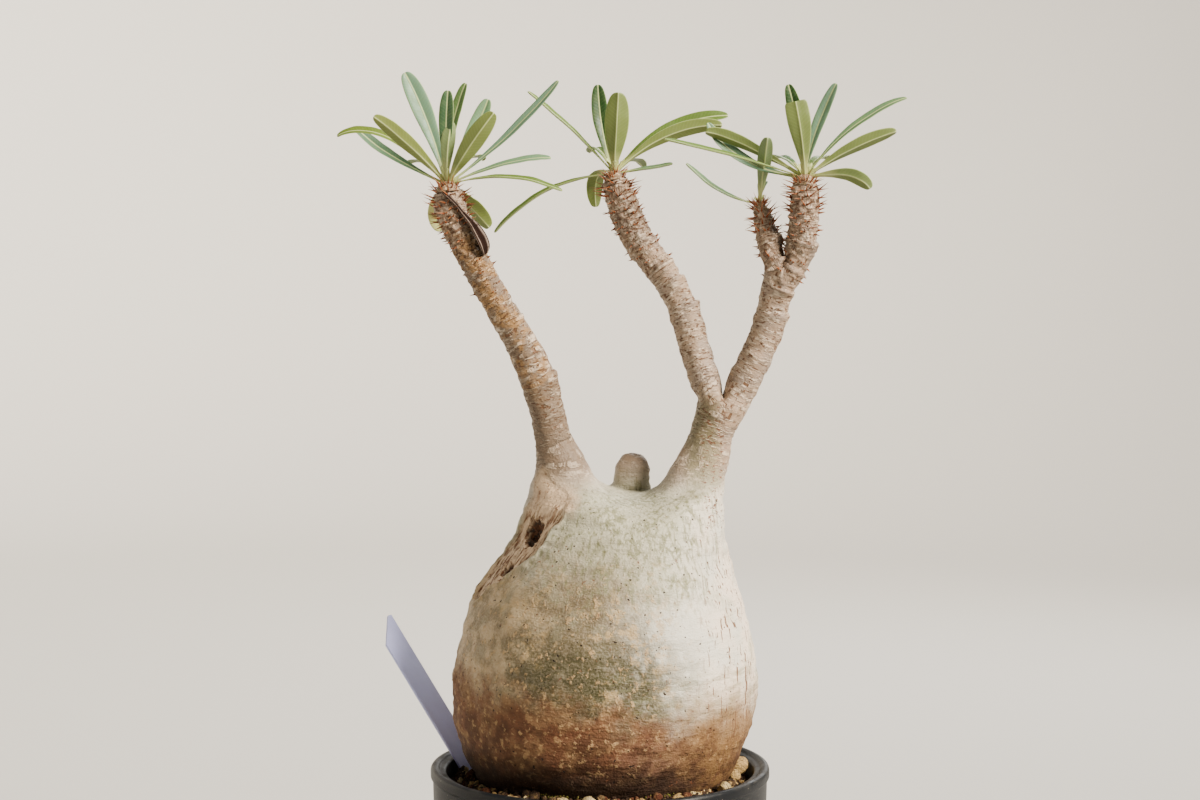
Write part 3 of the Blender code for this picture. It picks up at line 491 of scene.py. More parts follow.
def zone(tree, place, sides, fray, humps, within=1.0):
    """Mask of a region with frayed edges. sides: (way, mm where it is 0, mm where it is 1)."""
    field = add_node(tree, "ShaderNodeTexNoise", {"Vector": place, "Scale": 1 / humps,
                                                  "Detail": 4.0, "Roughness": 0.62})
    moved = add_node(tree, "ShaderNodeVectorMath", {0: field.outputs["Color"], 1: (0.5, 0.5, 0.5)},
                     operation="SUBTRACT")
    frayed = add_node(tree, "ShaderNodeVectorMath",
                      {0: moved.outputs[0], 1: (fray, fray, fray), 2: place},
                      operation="MULTIPLY_ADD").outputs[0]
    mask = within
    for way, nought, one in sides:
        far = add_node(tree, "ShaderNodeVectorMath", {0: frayed, 1: way}, operation="DOT_PRODUCT")
        mask = add_node(tree, "ShaderNodeMapRange", {"Value": far.outputs["Value"],
                                                     "From Min": nought, "From Max": one,
                                                     "To Max": mask},
                        interpolation_type="SMOOTHSTEP").outputs[0]
    return mask


def web(tree, place, cell, width, within, stretch=(1, 1, 1)):
    """Mask of fine cracks round cells about so many mm big, bent by noise."""
    laid = add_node(tree, "ShaderNodeMapping",
                    {"Vector": place, "Scale": [1 / (cell * share) for share in stretch]}).outputs[0]
    field = add_node(tree, "ShaderNodeTexNoise", {"Vector": laid, "Scale": 2.2, "Detail": 4.0})
    bent = add_node(tree, "ShaderNodeVectorMath",
                    {0: field.outputs["Color"], 1: (0.5, 0.5, 0.5), 2: laid},
                    operation="MULTIPLY_ADD").outputs[0]
    edge = add_node(tree, "ShaderNodeTexVoronoi", {"Vector": bent, "Scale": 1.0},
                    feature="DISTANCE_TO_EDGE").outputs["Distance"]
    return add_node(tree, "ShaderNodeMapRange", {"Value": edge, "From Min": width / cell,
                                                 "From Max": 0.3 * width / cell,
                                                 "To Max": within},
                    interpolation_type="SMOOTHSTEP").outputs[0]


def paint(tree, shader, base, layers):
    """Lay colours over each other, each to its share where its mask is, and use the result."""
    for mask, share, over in layers:
        strength = add_node(tree, "ShaderNodeMath", {0: mask, 1: share}, operation="MULTIPLY")
        mixed = add_node(tree, "ShaderNodeMix", {0: strength.outputs[0], 6: base, 7: over},
                         data_type="RGBA")
        base = mixed.outputs[2]
    tree.links.new(base, shader.inputs["Base Color"])


def emboss(tree, shader, heights):
    """Raise the shaded surface by masks, each with its height in mm."""
    total = 0.0
    for mask, height in heights:
        total = add_node(tree, "ShaderNodeMath", {0: mask, 1: height, 2: total},
                         operation="MULTIPLY_ADD").outputs[0]
    bump = add_node(tree, "ShaderNodeBump", {"Height": total, "Distance": MM})
    tree.links.new(bump.outputs[0], shader.inputs["Normal"])


def dull(tree, shader, mask, least, more):
    """Make the surface as rough as least, and rougher by more where the mask is."""
    level = add_node(tree, "ShaderNodeMath", {0: mask, 1: more, 2: least},
                     operation="MULTIPLY_ADD")
    tree.links.new(level.outputs[0], shader.inputs["Roughness"])


def moulded_polypropylene(pot):
    """Black polypropylene, injection moulded: a soft satin, dulled by dust and scuffs."""
    material, tree, shader = new_material("polypropylene_moulded", 0.45, 1.49)
    shader.inputs["Specular IOR Level"].default_value = 0.35
    place = millimetres(tree)
    up = add_node(tree, "ShaderNodeSeparateXYZ",
                  {0: add_node(tree, "ShaderNodeNewGeometry").outputs["Normal"]}).outputs[2]
    dusty = add_node(tree, "ShaderNodeMapRange",
                     {"Value": up, "From Min": -0.2, "From Max": 1.0, "To Min": 0.1}).outputs[0]
    film = patches(tree, place, 9.0, 0.42, 0.75, within=dusty)
    specks = patches(tree, place, 1.1, 0.74, 0.80, detail=1.0)
    scuffs = patches(tree, place, 2.2, 0.60, 0.72, stretch=(4, 4, 0.35))
    paint(tree, shader, pot.plastic, ((film, 0.14, pot.dust), (scuffs, 0.14, pot.dust),
                                      (specks, 0.8, pot.dust)))
    dull(tree, shader, film, 0.42, 0.25)
    grained = patches(tree, place, 0.8, 0.3, 0.7)
    emboss(tree, shader, ((grained, 0.02), (specks, 0.06), (scuffs, 0.02)))
    return material


def crushed_pumice(mix):
    """Crushed pumice and clay, sieved: dull stones with pores, each in its own colour."""
    material, tree, shader = new_material("pumice_crushed", 0.95, 1.5)
    place = millimetres(tree)
    own = add_node(tree, "ShaderNodeAttribute", attribute_name="tint").outputs["Color"]
    pores = patches(tree, place, 0.55, 0.56, 0.66, detail=2.0)
    dusty = patches(tree, place, 2.4, 0.45, 0.7)
    uneven = patches(tree, place, 1.3, 0.3, 0.7)
    paint(tree, shader, own, ((dusty, 0.3, mix.pumice), (pores, 1.0, mix.soil)))
    emboss(tree, shader, ((pores, -0.3), (dusty, 0.15), (uneven, 0.35)))
    return material


def grown_bark(stem):
    """Corky skin of a swollen stem, as it grew: matte, wrinkled across, stained near the soil, with painted
    shade on the left limb, at the soil line and in the scar's hollows.
    """
    material, tree, shader = new_material("bark_grown", 0.6, 1.45)
    world = millimetres(tree)
    place = add_node(tree, "ShaderNodeAttribute", attribute_name="place").outputs["Vector"]
    limb, crown, scar, hollow = [
        add_node(tree, "ShaderNodeAttribute", attribute_name=kept).outputs["Fac"]
        for kept in ("limb", "crown", "scar", "hollow")]
    body = add_node(tree, "ShaderNodeMath", {0: 1.0, 1: limb}, operation="SUBTRACT").outputs[0]

    # Skin of the caudex: light on the right, a green film above, olive and ochre on the left
    right = zone(tree, world, ((ACROSS, 30, 60),), 24.0, 16.0, body)
    cream = patches(tree, world, 20.0, 0.34, 0.60, within=right)
    film = zone(tree, world, ((UP, 200, 228), (ACROSS, 54, 22), (BACK, 42, 18)), 30.0, 16.0, body)
    upper = zone(tree, world, ((UP, 190, 224), (ACROSS, 66, 40)), 24.0, 12.0, body)
    scratch = patches(tree, world, 1.6, 0.48, 0.66, stretch=(1, 1, 7), within=upper)
    olive = zone(tree, world, ((ACROSS, 32, 0), (UP, 240, 208), (BACK, 44, 14)), 40.0, 14.0, body)
    dapple = patches(tree, world, 7.0, 0.46, 0.62, within=olive)
    shade = patches(tree, world, 4.5, 0.48, 0.64, within=olive, detail=4.0)
    side = zone(tree, world, ((ACROSS, -14, -44), (UP, 232, 208), (BACK, 40, 20)), 30.0, 15.0, body)
    tan = patches(tree, world, 8.0, 0.40, 0.60, within=side, detail=4.0)
    green = patches(tree, world, 10.0, 0.28, 0.48, detail=4.0, within=zone(tree, world, (
        (ACROSS, -52, -26), (ACROSS, 46, 18), (UP, 148, 160), (UP, 208, 180)), 26.0, 12.0, body))
    bands = patches(tree, world, 3.0, 0.44, 0.62, stretch=(4, 4, 1), within=zone(tree, world, (
        (ACROSS, -10, 14), (UP, 186, 174), (UP, 142, 154)), 12.0, 9.0, body))
    elsewhere = patches(tree, world, 26.0, 0.52, 0.66, within=body, detail=4.0)
    shoulder = zone(tree, world, ((ACROSS, -6, -18), (UP, 240, 252)), 14.0, 9.0, body)
    low = zone(tree, world, ((UP, 236, 200), (ACROSS, 50, 12)), 30.0, 16.0, body)
    clump = patches(tree, world, 17.0, 0.42, 0.58, within=low)
    cork = patches(tree, world, 4.6, 0.52, 0.60, within=clump, detail=5.0)
    crust = patches(tree, world, 3.0, 0.57, 0.66, within=low, detail=4.0)
    lines = patches(tree, world, 8.0, 0.42, 0.56, within=zone(tree, world, (
        (ACROSS, -10, 6), (ACROSS, 50, 36), (UP, 200, 218), (BACK, 10, -8)), 12.0, 9.0, body))
    veins = web(tree, world, 5.0, 0.5, lines, stretch=(1, 1, 1.6))
    mossed = patches(tree, world, 2.4, 0.50, 0.62, stretch=(1, 1, 2), within=lines)
    rust = zone(tree, world, ((STAIN_LEAN, 174, 154),), 36.0, 10.0, body)
    mottle = patches(tree, world, 11.0, 0.44, 0.62, within=rust, detail=4.0)
    beige = zone(tree, world, ((STAIN_LEAN, 188, 160), (ACROSS, 16, 48), (BACK, 60, 20)),
                 32.0, 12.0, body)
    umber = patches(tree, world, 8.0, 0.42, 0.62, detail=4.0,
                    within=zone(tree, world, ((STAIN_LEAN, 169, 145),), 24.0, 10.0, body))
    light = patches(tree, world, 3.2, 0.56, 0.66, within=rust)
    grime = patches(tree, world, 2.6, 0.48, 0.68, within=rust)
    # Dark band at the soil line: partly damp stain, partly painted shade where the caudex meets the mix
    damp_and_shade = zone(tree, world, ((UP, 150, 130), (ACROSS, 70, 20)), 18.0, 7.0)
    # Pits and marks are a little coarser than the real ones, which are finer than a pixel
    pits = patches(tree, world, 1.3, 0.80, 0.825, within=body, detail=0.0)
    marks = patches(tree, world, 2.6, 0.67, 0.71, within=body)
    cracks = patches(tree, world, 1.3, 0.58, 0.64, stretch=(1.0, 1.0, 24.0),
                     within=zone(tree, world, ((ACROSS, 36, 52), (UP, 240, 222)), 8.0, 16.0, body))
    dashes = patches(tree, world, 1.15, 0.56, 0.64, stretch=(2.2, 2.2, 1), within=zone(
        tree, world, ((ACROSS, 42, 46), (ACROSS, 57, 53), (BACK, 2, -5), (UP, 230, 240),
                      (UP, 300, 286)), 3.0, 6.0))
    fuzz = patches(tree, world, 1.0, 0.35, 0.70, detail=2.0)

    # Skin of the limbs: beige, ribbed across, with brown flecks between the ribs
    blotch = patches(tree, place, 8.0, 0.42, 0.64, within=limb)
    # Painted shade: the left limb darkened as a whole, and its low part once more over the ribs
    left_limb_shade = zone(tree, world, ((ACROSS, 4, -10), (UP, 238, 254), (UP, 372, 352)), 14.0, 9.0, limb)
    shaded = zone(tree, world, ((ACROSS, 0, -10), (UP, 256, 268), (UP, 308, 290)), 10.0, 7.0, limb)
    rib = patches(tree, place, 1.35, 0.48, 0.64, stretch=(3.4, 3.4, 1), within=limb)
    higher = zone(tree, world, ((UP, 264, 292),), 10.0, 7.0, limb)
    fleck = patches(tree, place, 0.85, 0.56, 0.65, stretch=(3.2, 3.2, 1), detail=2.0,
                    within=higher)
    mossy = zone(tree, world, ((ACROSS, 34, 41), (ACROSS, 55, 49), (UP, 248, 258), (UP, 300, 286),
                               (BACK, 4, -4)), 8.0, 6.0)
    orange = patches(tree, world, 6.0, 0.42, 0.60, within=zone(tree, world, (
        (ACROSS, -12, -28), (BACK, 2, -9), (UP, 286, 308), (UP, 374, 358)), 14.0, 6.0, limb))
    rough = patches(tree, place, 1.5, 0.47, 0.62, within=crown, detail=2.0)

    # Bare wood of the scar: fibres about 1 mm apart, darker and stained beside the hollows
    turn = GRAIN_OF_WOOD.rotation_difference(Vector((0, 0, 1))).to_euler()
    fibre = add_node(tree, "ShaderNodeMapping", {"Vector": world, "Rotation": turn}).outputs[0]
    deep = zone(tree, world, ((UP, 252, 238),), 10.0, 6.0, scar)
    streak = patches(tree, fibre, 1.3, 0.48, 0.64, stretch=(1, 1, 7), within=deep)
    crumb = patches(tree, world, 1.8, 0.58, 0.68, within=scar)
    chips = patches(tree, world, 2.0, 0.43, 0.55, within=hollow, detail=4.0)
    stain = patches(tree, world, 6.0, 0.50, 0.68, within=scar)

    paint(tree, shader, stem.pale, (
        (cream, 1.0, stem.cream), (elsewhere, 0.7, stem.film), (film, 0.8, stem.film),
        (olive, 1.0, stem.olive), (scratch, 0.7, stem.scratch), (dapple, 0.3, stem.film),
        (shade, 0.45, stem.shade), (side, 0.25, stem.cork), (tan, 0.75, stem.tan), (green, 0.95, stem.algae), (bands, 0.4, stem.scratch),
        (shoulder, 0.7, stem.shoulder), (mossed, 0.65, stem.scratch), (veins, 0.6, stem.scratch),
        (cork, 0.75, stem.cork), (fuzz, 0.12, stem.cream), (rust, 0.92, stem.rust), (mottle, 0.25, stem.cork), (beige, 0.88, stem.beige),
        (light, 0.45, stem.ochre), (grime, 0.5, stem.umber), (umber, 0.85, stem.umber),
        (crust, 0.6, stem.ochre), (damp_and_shade, 0.9, stem.damp_and_shade),
        (marks, 0.7, stem.rust), (pits, 1.0, stem.damp_and_shade), (cracks, 1.0, stem.fleck),
        (limb, 1.0, stem.branch), (blotch, 0.7, stem.shoulder), (left_limb_shade, 0.8, stem.limb_shade),
        (mossy, 0.55, stem.scratch), (rib, 0.7, stem.rib), (shaded, 0.5, stem.limb_shade), (orange, 0.42, stem.orange),
        (fleck, 0.9, stem.fleck), (rough, 0.5, stem.fleck), (dashes, 0.85, stem.rust),
        (scar, 1.0, stem.wood), (stain, 0.45, stem.rust), (streak, 1.0, stem.grain),
        # The hollows' near-black: partly dark wood, partly painted shade that deepens with depth
        (crumb, 0.75, stem.grain), (hollow, 0.92, stem.hollow), (chips, 0.85, stem.grain)))
    dull(tree, shader, rust, 0.56, 0.2)
    wavy = patches(tree, place, 2.2, 0.3, 0.7, stretch=(4, 4, 1), within=body)
    emboss(tree, shader, ((wavy, 0.25), (crust, 0.25), (pits, -0.5), (rib, 0.35), (fleck, -0.35),
                          (rough, -0.4), (streak, -0.5), (fuzz, 0.12)))
    return material


def horny_spine():
    """Spine of hard, horn-like tissue: smooth, half glossy, lighter at its point."""
    material, tree, shader = new_material("spine_horn_grown", 0.42, 1.52)
    own = add_node(tree, "ShaderNodeAttribute", attribute_name="tint").outputs["Color"]
    grain = patches(tree, millimetres(tree), 0.6, 0.35, 0.7)
    paint(tree, shader, own, ((grain, 0.3, colour("6a2c14")),))
    return material


def waxy_leaf(leaves):
    """Living leaf with a waxy skin: satin, with a pale midrib and edge and fine side veins."""
    material, tree, shader = new_material("leaf_waxy", 0.48, 1.45)
    shader.inputs["Subsurface Weight"].default_value = 0.12
    shader.inputs["Subsurface Radius"].default_value = (0.6 * MM, 1.0 * MM, 0.2 * MM)
    shader.inputs["Subsurface Scale"].default_value = 1.0
    blade = add_node(tree, "ShaderNodeAttribute", attribute_name="blade").outputs["Vector"]
    beside, along, share = add_node(tree, "ShaderNodeSeparateXYZ", {0: blade}).outputs
    upper, core = [add_node(tree, "ShaderNodeAttribute", attribute_name=kept).outputs["Fac"]
                   for kept in ("upper", "crest")]
    own = add_node(tree, "ShaderNodeAttribute", attribute_name="tint").outputs["Color"]
    lower = add_node(tree, "ShaderNodeMath", {0: 1.0, 1: upper}, operation="SUBTRACT").outputs[0]
    rib = add_node(tree, "ShaderNodeMapRange", {"Value": beside, "From Min": 0.42,
                                                "From Max": 0.15},
                   interpolation_type="SMOOTHSTEP").outputs[0]
    edge = add_node(tree, "ShaderNodeMapRange", {"Value": share, "From Min": 0.9, "From Max": 1.0},
                    interpolation_type="SMOOTHSTEP").outputs[0]
    # Side veins leave the midrib every 1.6 mm, which is as close as the picture can show
    slant = add_node(tree, "ShaderNodeMath", {0: beside, 1: -0.7, 2: along},
                     operation="MULTIPLY_ADD").outputs[0]
    wave = add_node(tree, "ShaderNodeMath", {0: slant, 1: math.tau / 1.6}, operation="MULTIPLY")
    swing = add_node(tree, "ShaderNodeMath", {0: wave.outputs[0]}, operation="SINE").outputs[0]
    veins = add_node(tree, "ShaderNodeMapRange",
                     {"Value": swing, "From Min": 0.35, "From Max": 1.0}).outputs[0]
    foot = add_node(tree, "ShaderNodeMapRange",
                    {"Value": along, "From Min": 12.0, "From Max": 4.0}).outputs[0]
    place = millimetres(tree)
    scaly = patches(tree, place, 1.4, 0.45, 0.62, within=core)
    mottle = patches(tree, place, 2.6, 0.40, 0.72)
    paint(tree, shader, own, ((lower, 0.62, leaves.under), (mottle, 0.16, leaves.under),
                              (veins, 0.05, leaves.vein), (foot, 0.75, leaves.foot),
                              (rib, 0.8, leaves.vein), (edge, 0.6, leaves.vein),
                              (core, 1.0, leaves.crown), (scaly, 1.0, leaves.scale)))
    dull(tree, shader, mottle, 0.44, 0.14)
    emboss(tree, shader, ((veins, 0.012), (rib, 0.08), (scaly, -0.4)))
    return material


def dried_skin(leaves):
    """Leaf that dried and curled: papery, dark, with pale raised ridges."""
    material, tree, shader = new_material("leaf_dried", 0.7, 1.45)
    shader.inputs["Specular IOR Level"].default_value = 0.25
    blade = add_node(tree, "ShaderNodeAttribute", attribute_name="blade").outputs["Vector"]
    share = add_node(tree, "ShaderNodeSeparateXYZ", {0: blade}).outputs[2]
    crest = add_node(tree, "ShaderNodeAttribute", attribute_name="crest").outputs["Fac"]
    place = millimetres(tree)
    line = add_node(tree, "ShaderNodeMapRange",
                    {"Value": crest, "From Min": 0.55, "From Max": 0.9}).outputs[0]
    worn = patches(tree, place, 1.6, 0.25, 0.5, within=line)
    edge = add_node(tree, "ShaderNodeMapRange",
                    {"Value": share, "From Min": 0.93, "From Max": 0.99}).outputs[0]
    dim = patches(tree, place, 2.0, 0.45, 0.7)
    creased = patches(tree, place, 0.5, 0.3, 0.7)
    paint(tree, shader, leaves.dry, ((dim, 1.0, colour("24150e")), (worn, 1.0, leaves.ridge),
                                     (edge, 1.0, leaves.ridge)))
    emboss(tree, shader, ((creased, 0.12), (crest, 0.1)))
    return material


def punched_styrene(label):
    """Polystyrene sheet, punched to a label: smooth and half glossy, with dirt specks and smears, and painted
    shade and reflection of the caudex towards its foot.
    """
    material, tree, shader = new_material("polystyrene_punched", 0.34, 1.55)
    place = millimetres(tree)
    base = LABEL_AT_SOIL[2]
    # Painted shade and reflection: the lower part darkens towards the soil; the specks and smears are dirt
    dirt_and_shade = zone(tree, place, ((UP, base + 50, base + 4),), 10.0, 9.0)
    specks = patches(tree, place, 1.2, 0.70, 0.76, within=dirt_and_shade)
    smear = patches(tree, place, 8.0, 0.35, 0.75)
    wavy = patches(tree, place, 30.0, 0.3, 0.7)
    paint(tree, shader, label.plastic, ((smear, 0.05, label.dirt_and_shade), (dirt_and_shade, 0.4, label.dirt_and_shade),
                                        (specks, 1.0, label.dirt_and_shade)))
    dull(tree, shader, smear, 0.3, 0.18)
    emboss(tree, shader, ((patches(tree, place, 0.9, 0.3, 0.7), 0.01), (wavy, 0.2)))
    return material


def painted_board(stage):
    """Floor board with matte paint: rolled on, so it has a faint orange-peel."""
    material, tree, shader = new_material("paint_rolled", 0.85, 1.5)
    place = millimetres(tree)
    cloudy = patches(tree, place, 140.0, 0.3, 0.8)
    paint(tree, shader, stage.floor, ((cloudy, 0.08, colour("bdbab3")),))
    emboss(tree, shader, ((patches(tree, place, 1.5, 0.3, 0.7), 0.02),))
    return material


def rounded(profile, radius, steps=EDGE_STEPS):
    """A profile with its inner corners rounded, as far as the sides beside them allow."""
    points = [Vector(point) for point in profile]
    result = [points[0]]
    for before, corner, after in zip(points, points[1:], points[2:]):
        cut = min(radius, (before - corner).length * 0.45, (after - corner).length * 0.45)
        start = corner + (before - corner).normalized() * cut
        end = corner + (after - corner).normalized() * cut
        for step in range(steps + 1):
            share = step / steps
            result.append(start * (1 - share) ** 2 + corner * 2 * share * (1 - share)
                          + end * share ** 2)
    return result + [points[-1]]


def wall_radius(height, inset=0.0):
    """Inner radius of the pot at a height."""
    share = (height - FLOOR) / (POT_HEIGHT - FLOOR)
    low = BASE_RADIUS - WALL
    return low + (MOUTH_RADIUS - low) * share - inset


def pot_profile():
    """The pot's section: floor, wall, stepped rim, hanging collar, foot ring and pad."""
    rim_top = POT_HEIGHT
    collar_foot = POT_HEIGHT - COLLAR_HEIGHT
    lip_foot = POT_HEIGHT - LIP_HEIGHT
    skirt = RIM_RADIUS - 1.0
    foot = BASE_RADIUS + 1.0
    return (
        (0, FLOOR), (wall_radius(FLOOR) - 1.5, FLOOR), (wall_radius(FLOOR + 1.5), FLOOR + 1.5),
        (wall_radius(rim_top - 2.2), rim_top - 2.2), (MOUTH_RADIUS + 0.6, rim_top - 1.6),
        (MOUTH_RADIUS + 2.6, rim_top - 1.4), (MOUTH_RADIUS + 3.2, rim_top - 0.5),
        (RIM_RADIUS - 1.9, rim_top), (RIM_RADIUS - 0.5, rim_top - 0.4),
        (RIM_RADIUS, rim_top - 1.5), (RIM_RADIUS, lip_foot), (skirt, lip_foot - 0.5),
        (skirt - 0.4, collar_foot), (skirt - WALL - 0.4, collar_foot),
        (skirt - WALL, rim_top - 2.8), (wall_radius(rim_top - 2.8) + WALL, rim_top - 2.8),
        (foot, 1.0), (foot - 1.0, 0), (foot - FOOT_WIDTH, 0),
        (foot - FOOT_WIDTH - 1.0, CHANNEL_HEIGHT), (PAD_RADIUS + 1.0, CHANNEL_HEIGHT),
        (PAD_RADIUS, 0), (0, 0))


def pot_mesh(settings):
    """The pot turned from its profile, with the drain holes cut."""
    bm = bmesh.new()
    points = [bm.verts.new((point.x * MM, 0, point.y * MM))
              for point in rounded(pot_profile(), settings.edge / MM)]
    for first, second in zip(points, points[1:]):
        bm.edges.new((first, second))
    pot = helper_object("pot_turned", mesh_from(bm, "pot_turned"))
    screw = pot.modifiers.new("turn", "SCREW")
    screw.steps = screw.render_steps = POT_SIDES
    screw.use_merge_vertices = True
    screw.merge_threshold = MERGE
    ring = (BASE_RADIUS + 1.0 - FOOT_WIDTH + PAD_RADIUS) / 2
    bm = bmesh.new()
    for count in range(DRAIN_COUNT):
        angle = (count + 0.5) * math.tau / DRAIN_COUNT
        place = Vector((ring * math.cos(angle), ring * math.sin(angle), 0)) * MM
        # Turned a little, so that no corner of the hole falls on an edge of the pot
        turn = Matrix.Rotation(0.3 * math.tau / DRAIN_SIDES, 4, "Z")
        bmesh.ops.create_cone(bm, cap_ends=True, segments=DRAIN_SIDES, radius1=DRAIN_RADIUS * MM,
                              radius2=DRAIN_RADIUS * MM, depth=4 * FLOOR * MM,
                              matrix=Matrix.Translation(place) @ turn)
    drains = helper_object("drains", mesh_from(bm, "drains"))
    cut = pot.modifiers.new("drains", "BOOLEAN")
    cut.object = drains
    cut.operation = "DIFFERENCE"
    cut.solver = "EXACT"
    mesh = finished_mesh(pot, drains)
    mesh.materials.clear()
    smooth(mesh, 32.0)
    return mesh


def root_radius(angle):
    """Radius of the caudex at the surface of the mix, seen from the pot's centre."""
    return ROOT_AT_SOIL * math.hypot(math.cos(angle), DEPTH_RATIO * math.sin(angle))


def mix_height(angle, share):
    """Height of the mix: highest at the caudex and at the front."""
    return SOIL_LEVEL + SOIL_MOUND * (1 - share) - SOIL_BANK * min(0.0, math.sin(angle))


def bridge(bm, low, high):
    """Join two rings of as many vertices with a band of faces."""
    for k in range(len(low)):
        after = (k + 1) % len(low)
        bm.faces.new((low[k], low[after], high[after], high[k]))


def mix_body(settings):
    """The mix below its loose grains. The root's space isn't cut out, as it never shows."""
    bm = bmesh.new()
    rings = []
    for row in range(MIX_RINGS + 1):
        share = row / MIX_RINGS
        ring = []
        for step in range(MIX_SIDES):
            angle = step * math.tau / MIX_SIDES
            inner = root_radius(angle) - 3.0
            radius = inner + (wall_radius(SOIL_LEVEL, GAP) - inner) * share
            place = Vector((radius * math.cos(angle), radius * math.sin(angle), 0))
            place.z = mix_height(angle, share) - 1.4 + noise.noise(place / 4.0) * 0.9
            ring.append(bm.verts.new(place * MM))
        rings.append(ring)
    foot = wall_radius(FLOOR + 1.5, GAP) - 0.5
    rings.append([bm.verts.new(Vector((foot * math.cos(step * math.tau / MIX_SIDES),
                                       foot * math.sin(step * math.tau / MIX_SIDES),
                                       FLOOR + GAP + 0.5)) * MM) for step in range(MIX_SIDES)])
    for low, high in zip(rings, rings[1:]):
        bridge(bm, low, high)
    bm.faces.new(rings[0])
    bm.faces.new(rings[-1])
    bmesh.ops.recalc_face_normals(bm, faces=bm.faces)
    mesh = mesh_from(bm, "mix_body")
    store(mesh, "tint", np.tile(settings.soil[:3], (len(mesh.vertices), 1)))
    return mesh


def rough_ball(subdivisions, draw):
    """Points and faces of a crushed grain about 1 across its half."""
    bm = bmesh.new()
    bmesh.ops.create_icosphere(bm, subdivisions=subdivisions, radius=1.0)
    shift = Vector([draw.uniform(-50, 50) for _ in range(3)])
    planes = [(Vector([draw.gauss(0, 1) for _ in range(3)]).normalized(), draw.uniform(0.66, 0.9))
              for _ in range(9)]
    for vertex in bm.verts:
        for normal, far in planes:
            over = vertex.co.dot(normal) - far
            if over > 0:
                vertex.co -= normal * over * 0.85
        vertex.co *= 1 + 0.14 * noise.noise(vertex.co * 2.2 + shift)
    points = np.array([vertex.co for vertex in bm.verts])
    faces = [tuple(vertex.index for vertex in face.verts) for face in bm.faces]
    bm.free()
    return points, faces


def tumbled(place, radius, draw):
    """Matrix of a grain at a place, turned and stretched at random."""
    turn = Matrix.Rotation(draw.uniform(0, math.tau), 4, Vector([draw.gauss(0, 1) for _ in range(3)]))
    stretch = Matrix.Diagonal([radius * draw.uniform(0.78, 1.1) for _ in range(3)] + [1])
    return Matrix.Translation(place) @ turn @ stretch


def mix_grains(settings):
    """Loose grains over the ring of mix, coarse ones sunk among fine ones, and some moss."""
    draw = random.Random(GRAIN_SEED)
    fine = [rough_ball(2, draw) for _ in range(6)]
    coarse = [rough_ball(3, draw) for _ in range(6)]
    hues = [settings.pumice] * 2 + [settings.cream] + [settings.clay] * 2 + [settings.bark] * 7
    copies = [(*draw.choice(coarse), tumbled(Vector(place), radius, draw),
               draw.choice((settings.pumice, settings.cream))[:3])
              for *place, radius in SHOWN_STONES]
    sizes = [("fine", settings.smallest, settings.middle)] * settings.fine
    sizes += [("coarse", settings.middle, settings.largest)] * settings.coarse
    for kind, low, high in sizes:
        angle = draw.uniform(0, math.tau)
        radius = low / MM + (high - low) / MM * draw.random() ** 1.6
        inner = root_radius(angle) + 0.35 * radius
        outer = wall_radius(SOIL_LEVEL, 1.15 * radius + 0.4)
        share = draw.random()
        ring = inner + (outer - inner) * share
        place = Vector((ring * math.cos(angle), ring * math.sin(angle),
                        mix_height(angle, share) - 1.0 + draw.uniform(0.0, 0.55) * radius))
        if any((place - Vector(stone[:3])).length < radius + stone[3] * 0.8 for stone in SHOWN_STONES):
            continue
        shape = draw.choice(coarse if kind == "coarse" and radius > 2.2 else fine)
        copies.append((*shape, tumbled(place, radius, draw), draw.choice(hues)[:3]))
    for _ in range(220):
        angle = -math.pi / 2 + draw.choice((-0.32, 0.55)) + draw.gauss(0, 0.13)
        ring = root_radius(angle) + abs(draw.gauss(0, 1.6)) + 0.4
        place = Vector((ring * math.cos(angle), ring * math.sin(angle),
                        mix_height(angle, 0.2) + draw.uniform(-0.6, 1.1)))
        copies.append((*draw.choice(fine), tumbled(place, draw.uniform(0.3, 0.6), draw),
                       settings.moss[:3]))
    return combined("mix_grains", copies)


def disc_point(s, t):
    """Place in a unit disc of the place (s, t) in a square from -1 to 1."""
    return s * math.sqrt(1 - t * t / 2), t * math.sqrt(1 - s * s / 2)


def cap_share(place):
    """Share, from -1 to 1, of a grid place of the cap."""
    return -1 + 2 * place[0] / CAP_COLUMNS, -1 + 2 * place[1] / CAP_ROWS


def cap_rim():
    """Grid places round the cap's edge, counter-clockwise from the front left."""
    front = [(i, 0) for i in range(CAP_COLUMNS)]
    right = [(CAP_COLUMNS, j) for j in range(CAP_ROWS)]
    back = [(i, CAP_ROWS) for i in range(CAP_COLUMNS, 0, -1)]
    left = [(0, j) for j in range(CAP_ROWS, 0, -1)]
    return front + right + back + left


def swell(sides):
    """How much wider a cage of so many sides is than its smooth surface."""
    return 3 / (2 + math.cos(math.tau / sides))


def cap_height(s, t):
    """Height of the cap: a saddle between the limbs, falling to the front and back."""
    ridge = SADDLE_HEIGHT + SHOULDER_RISE * abs(s - SADDLE_SHIFT) ** 0.8
    return min(ridge, SHOULDER_TOP) - SLOPE_DROP * t * t


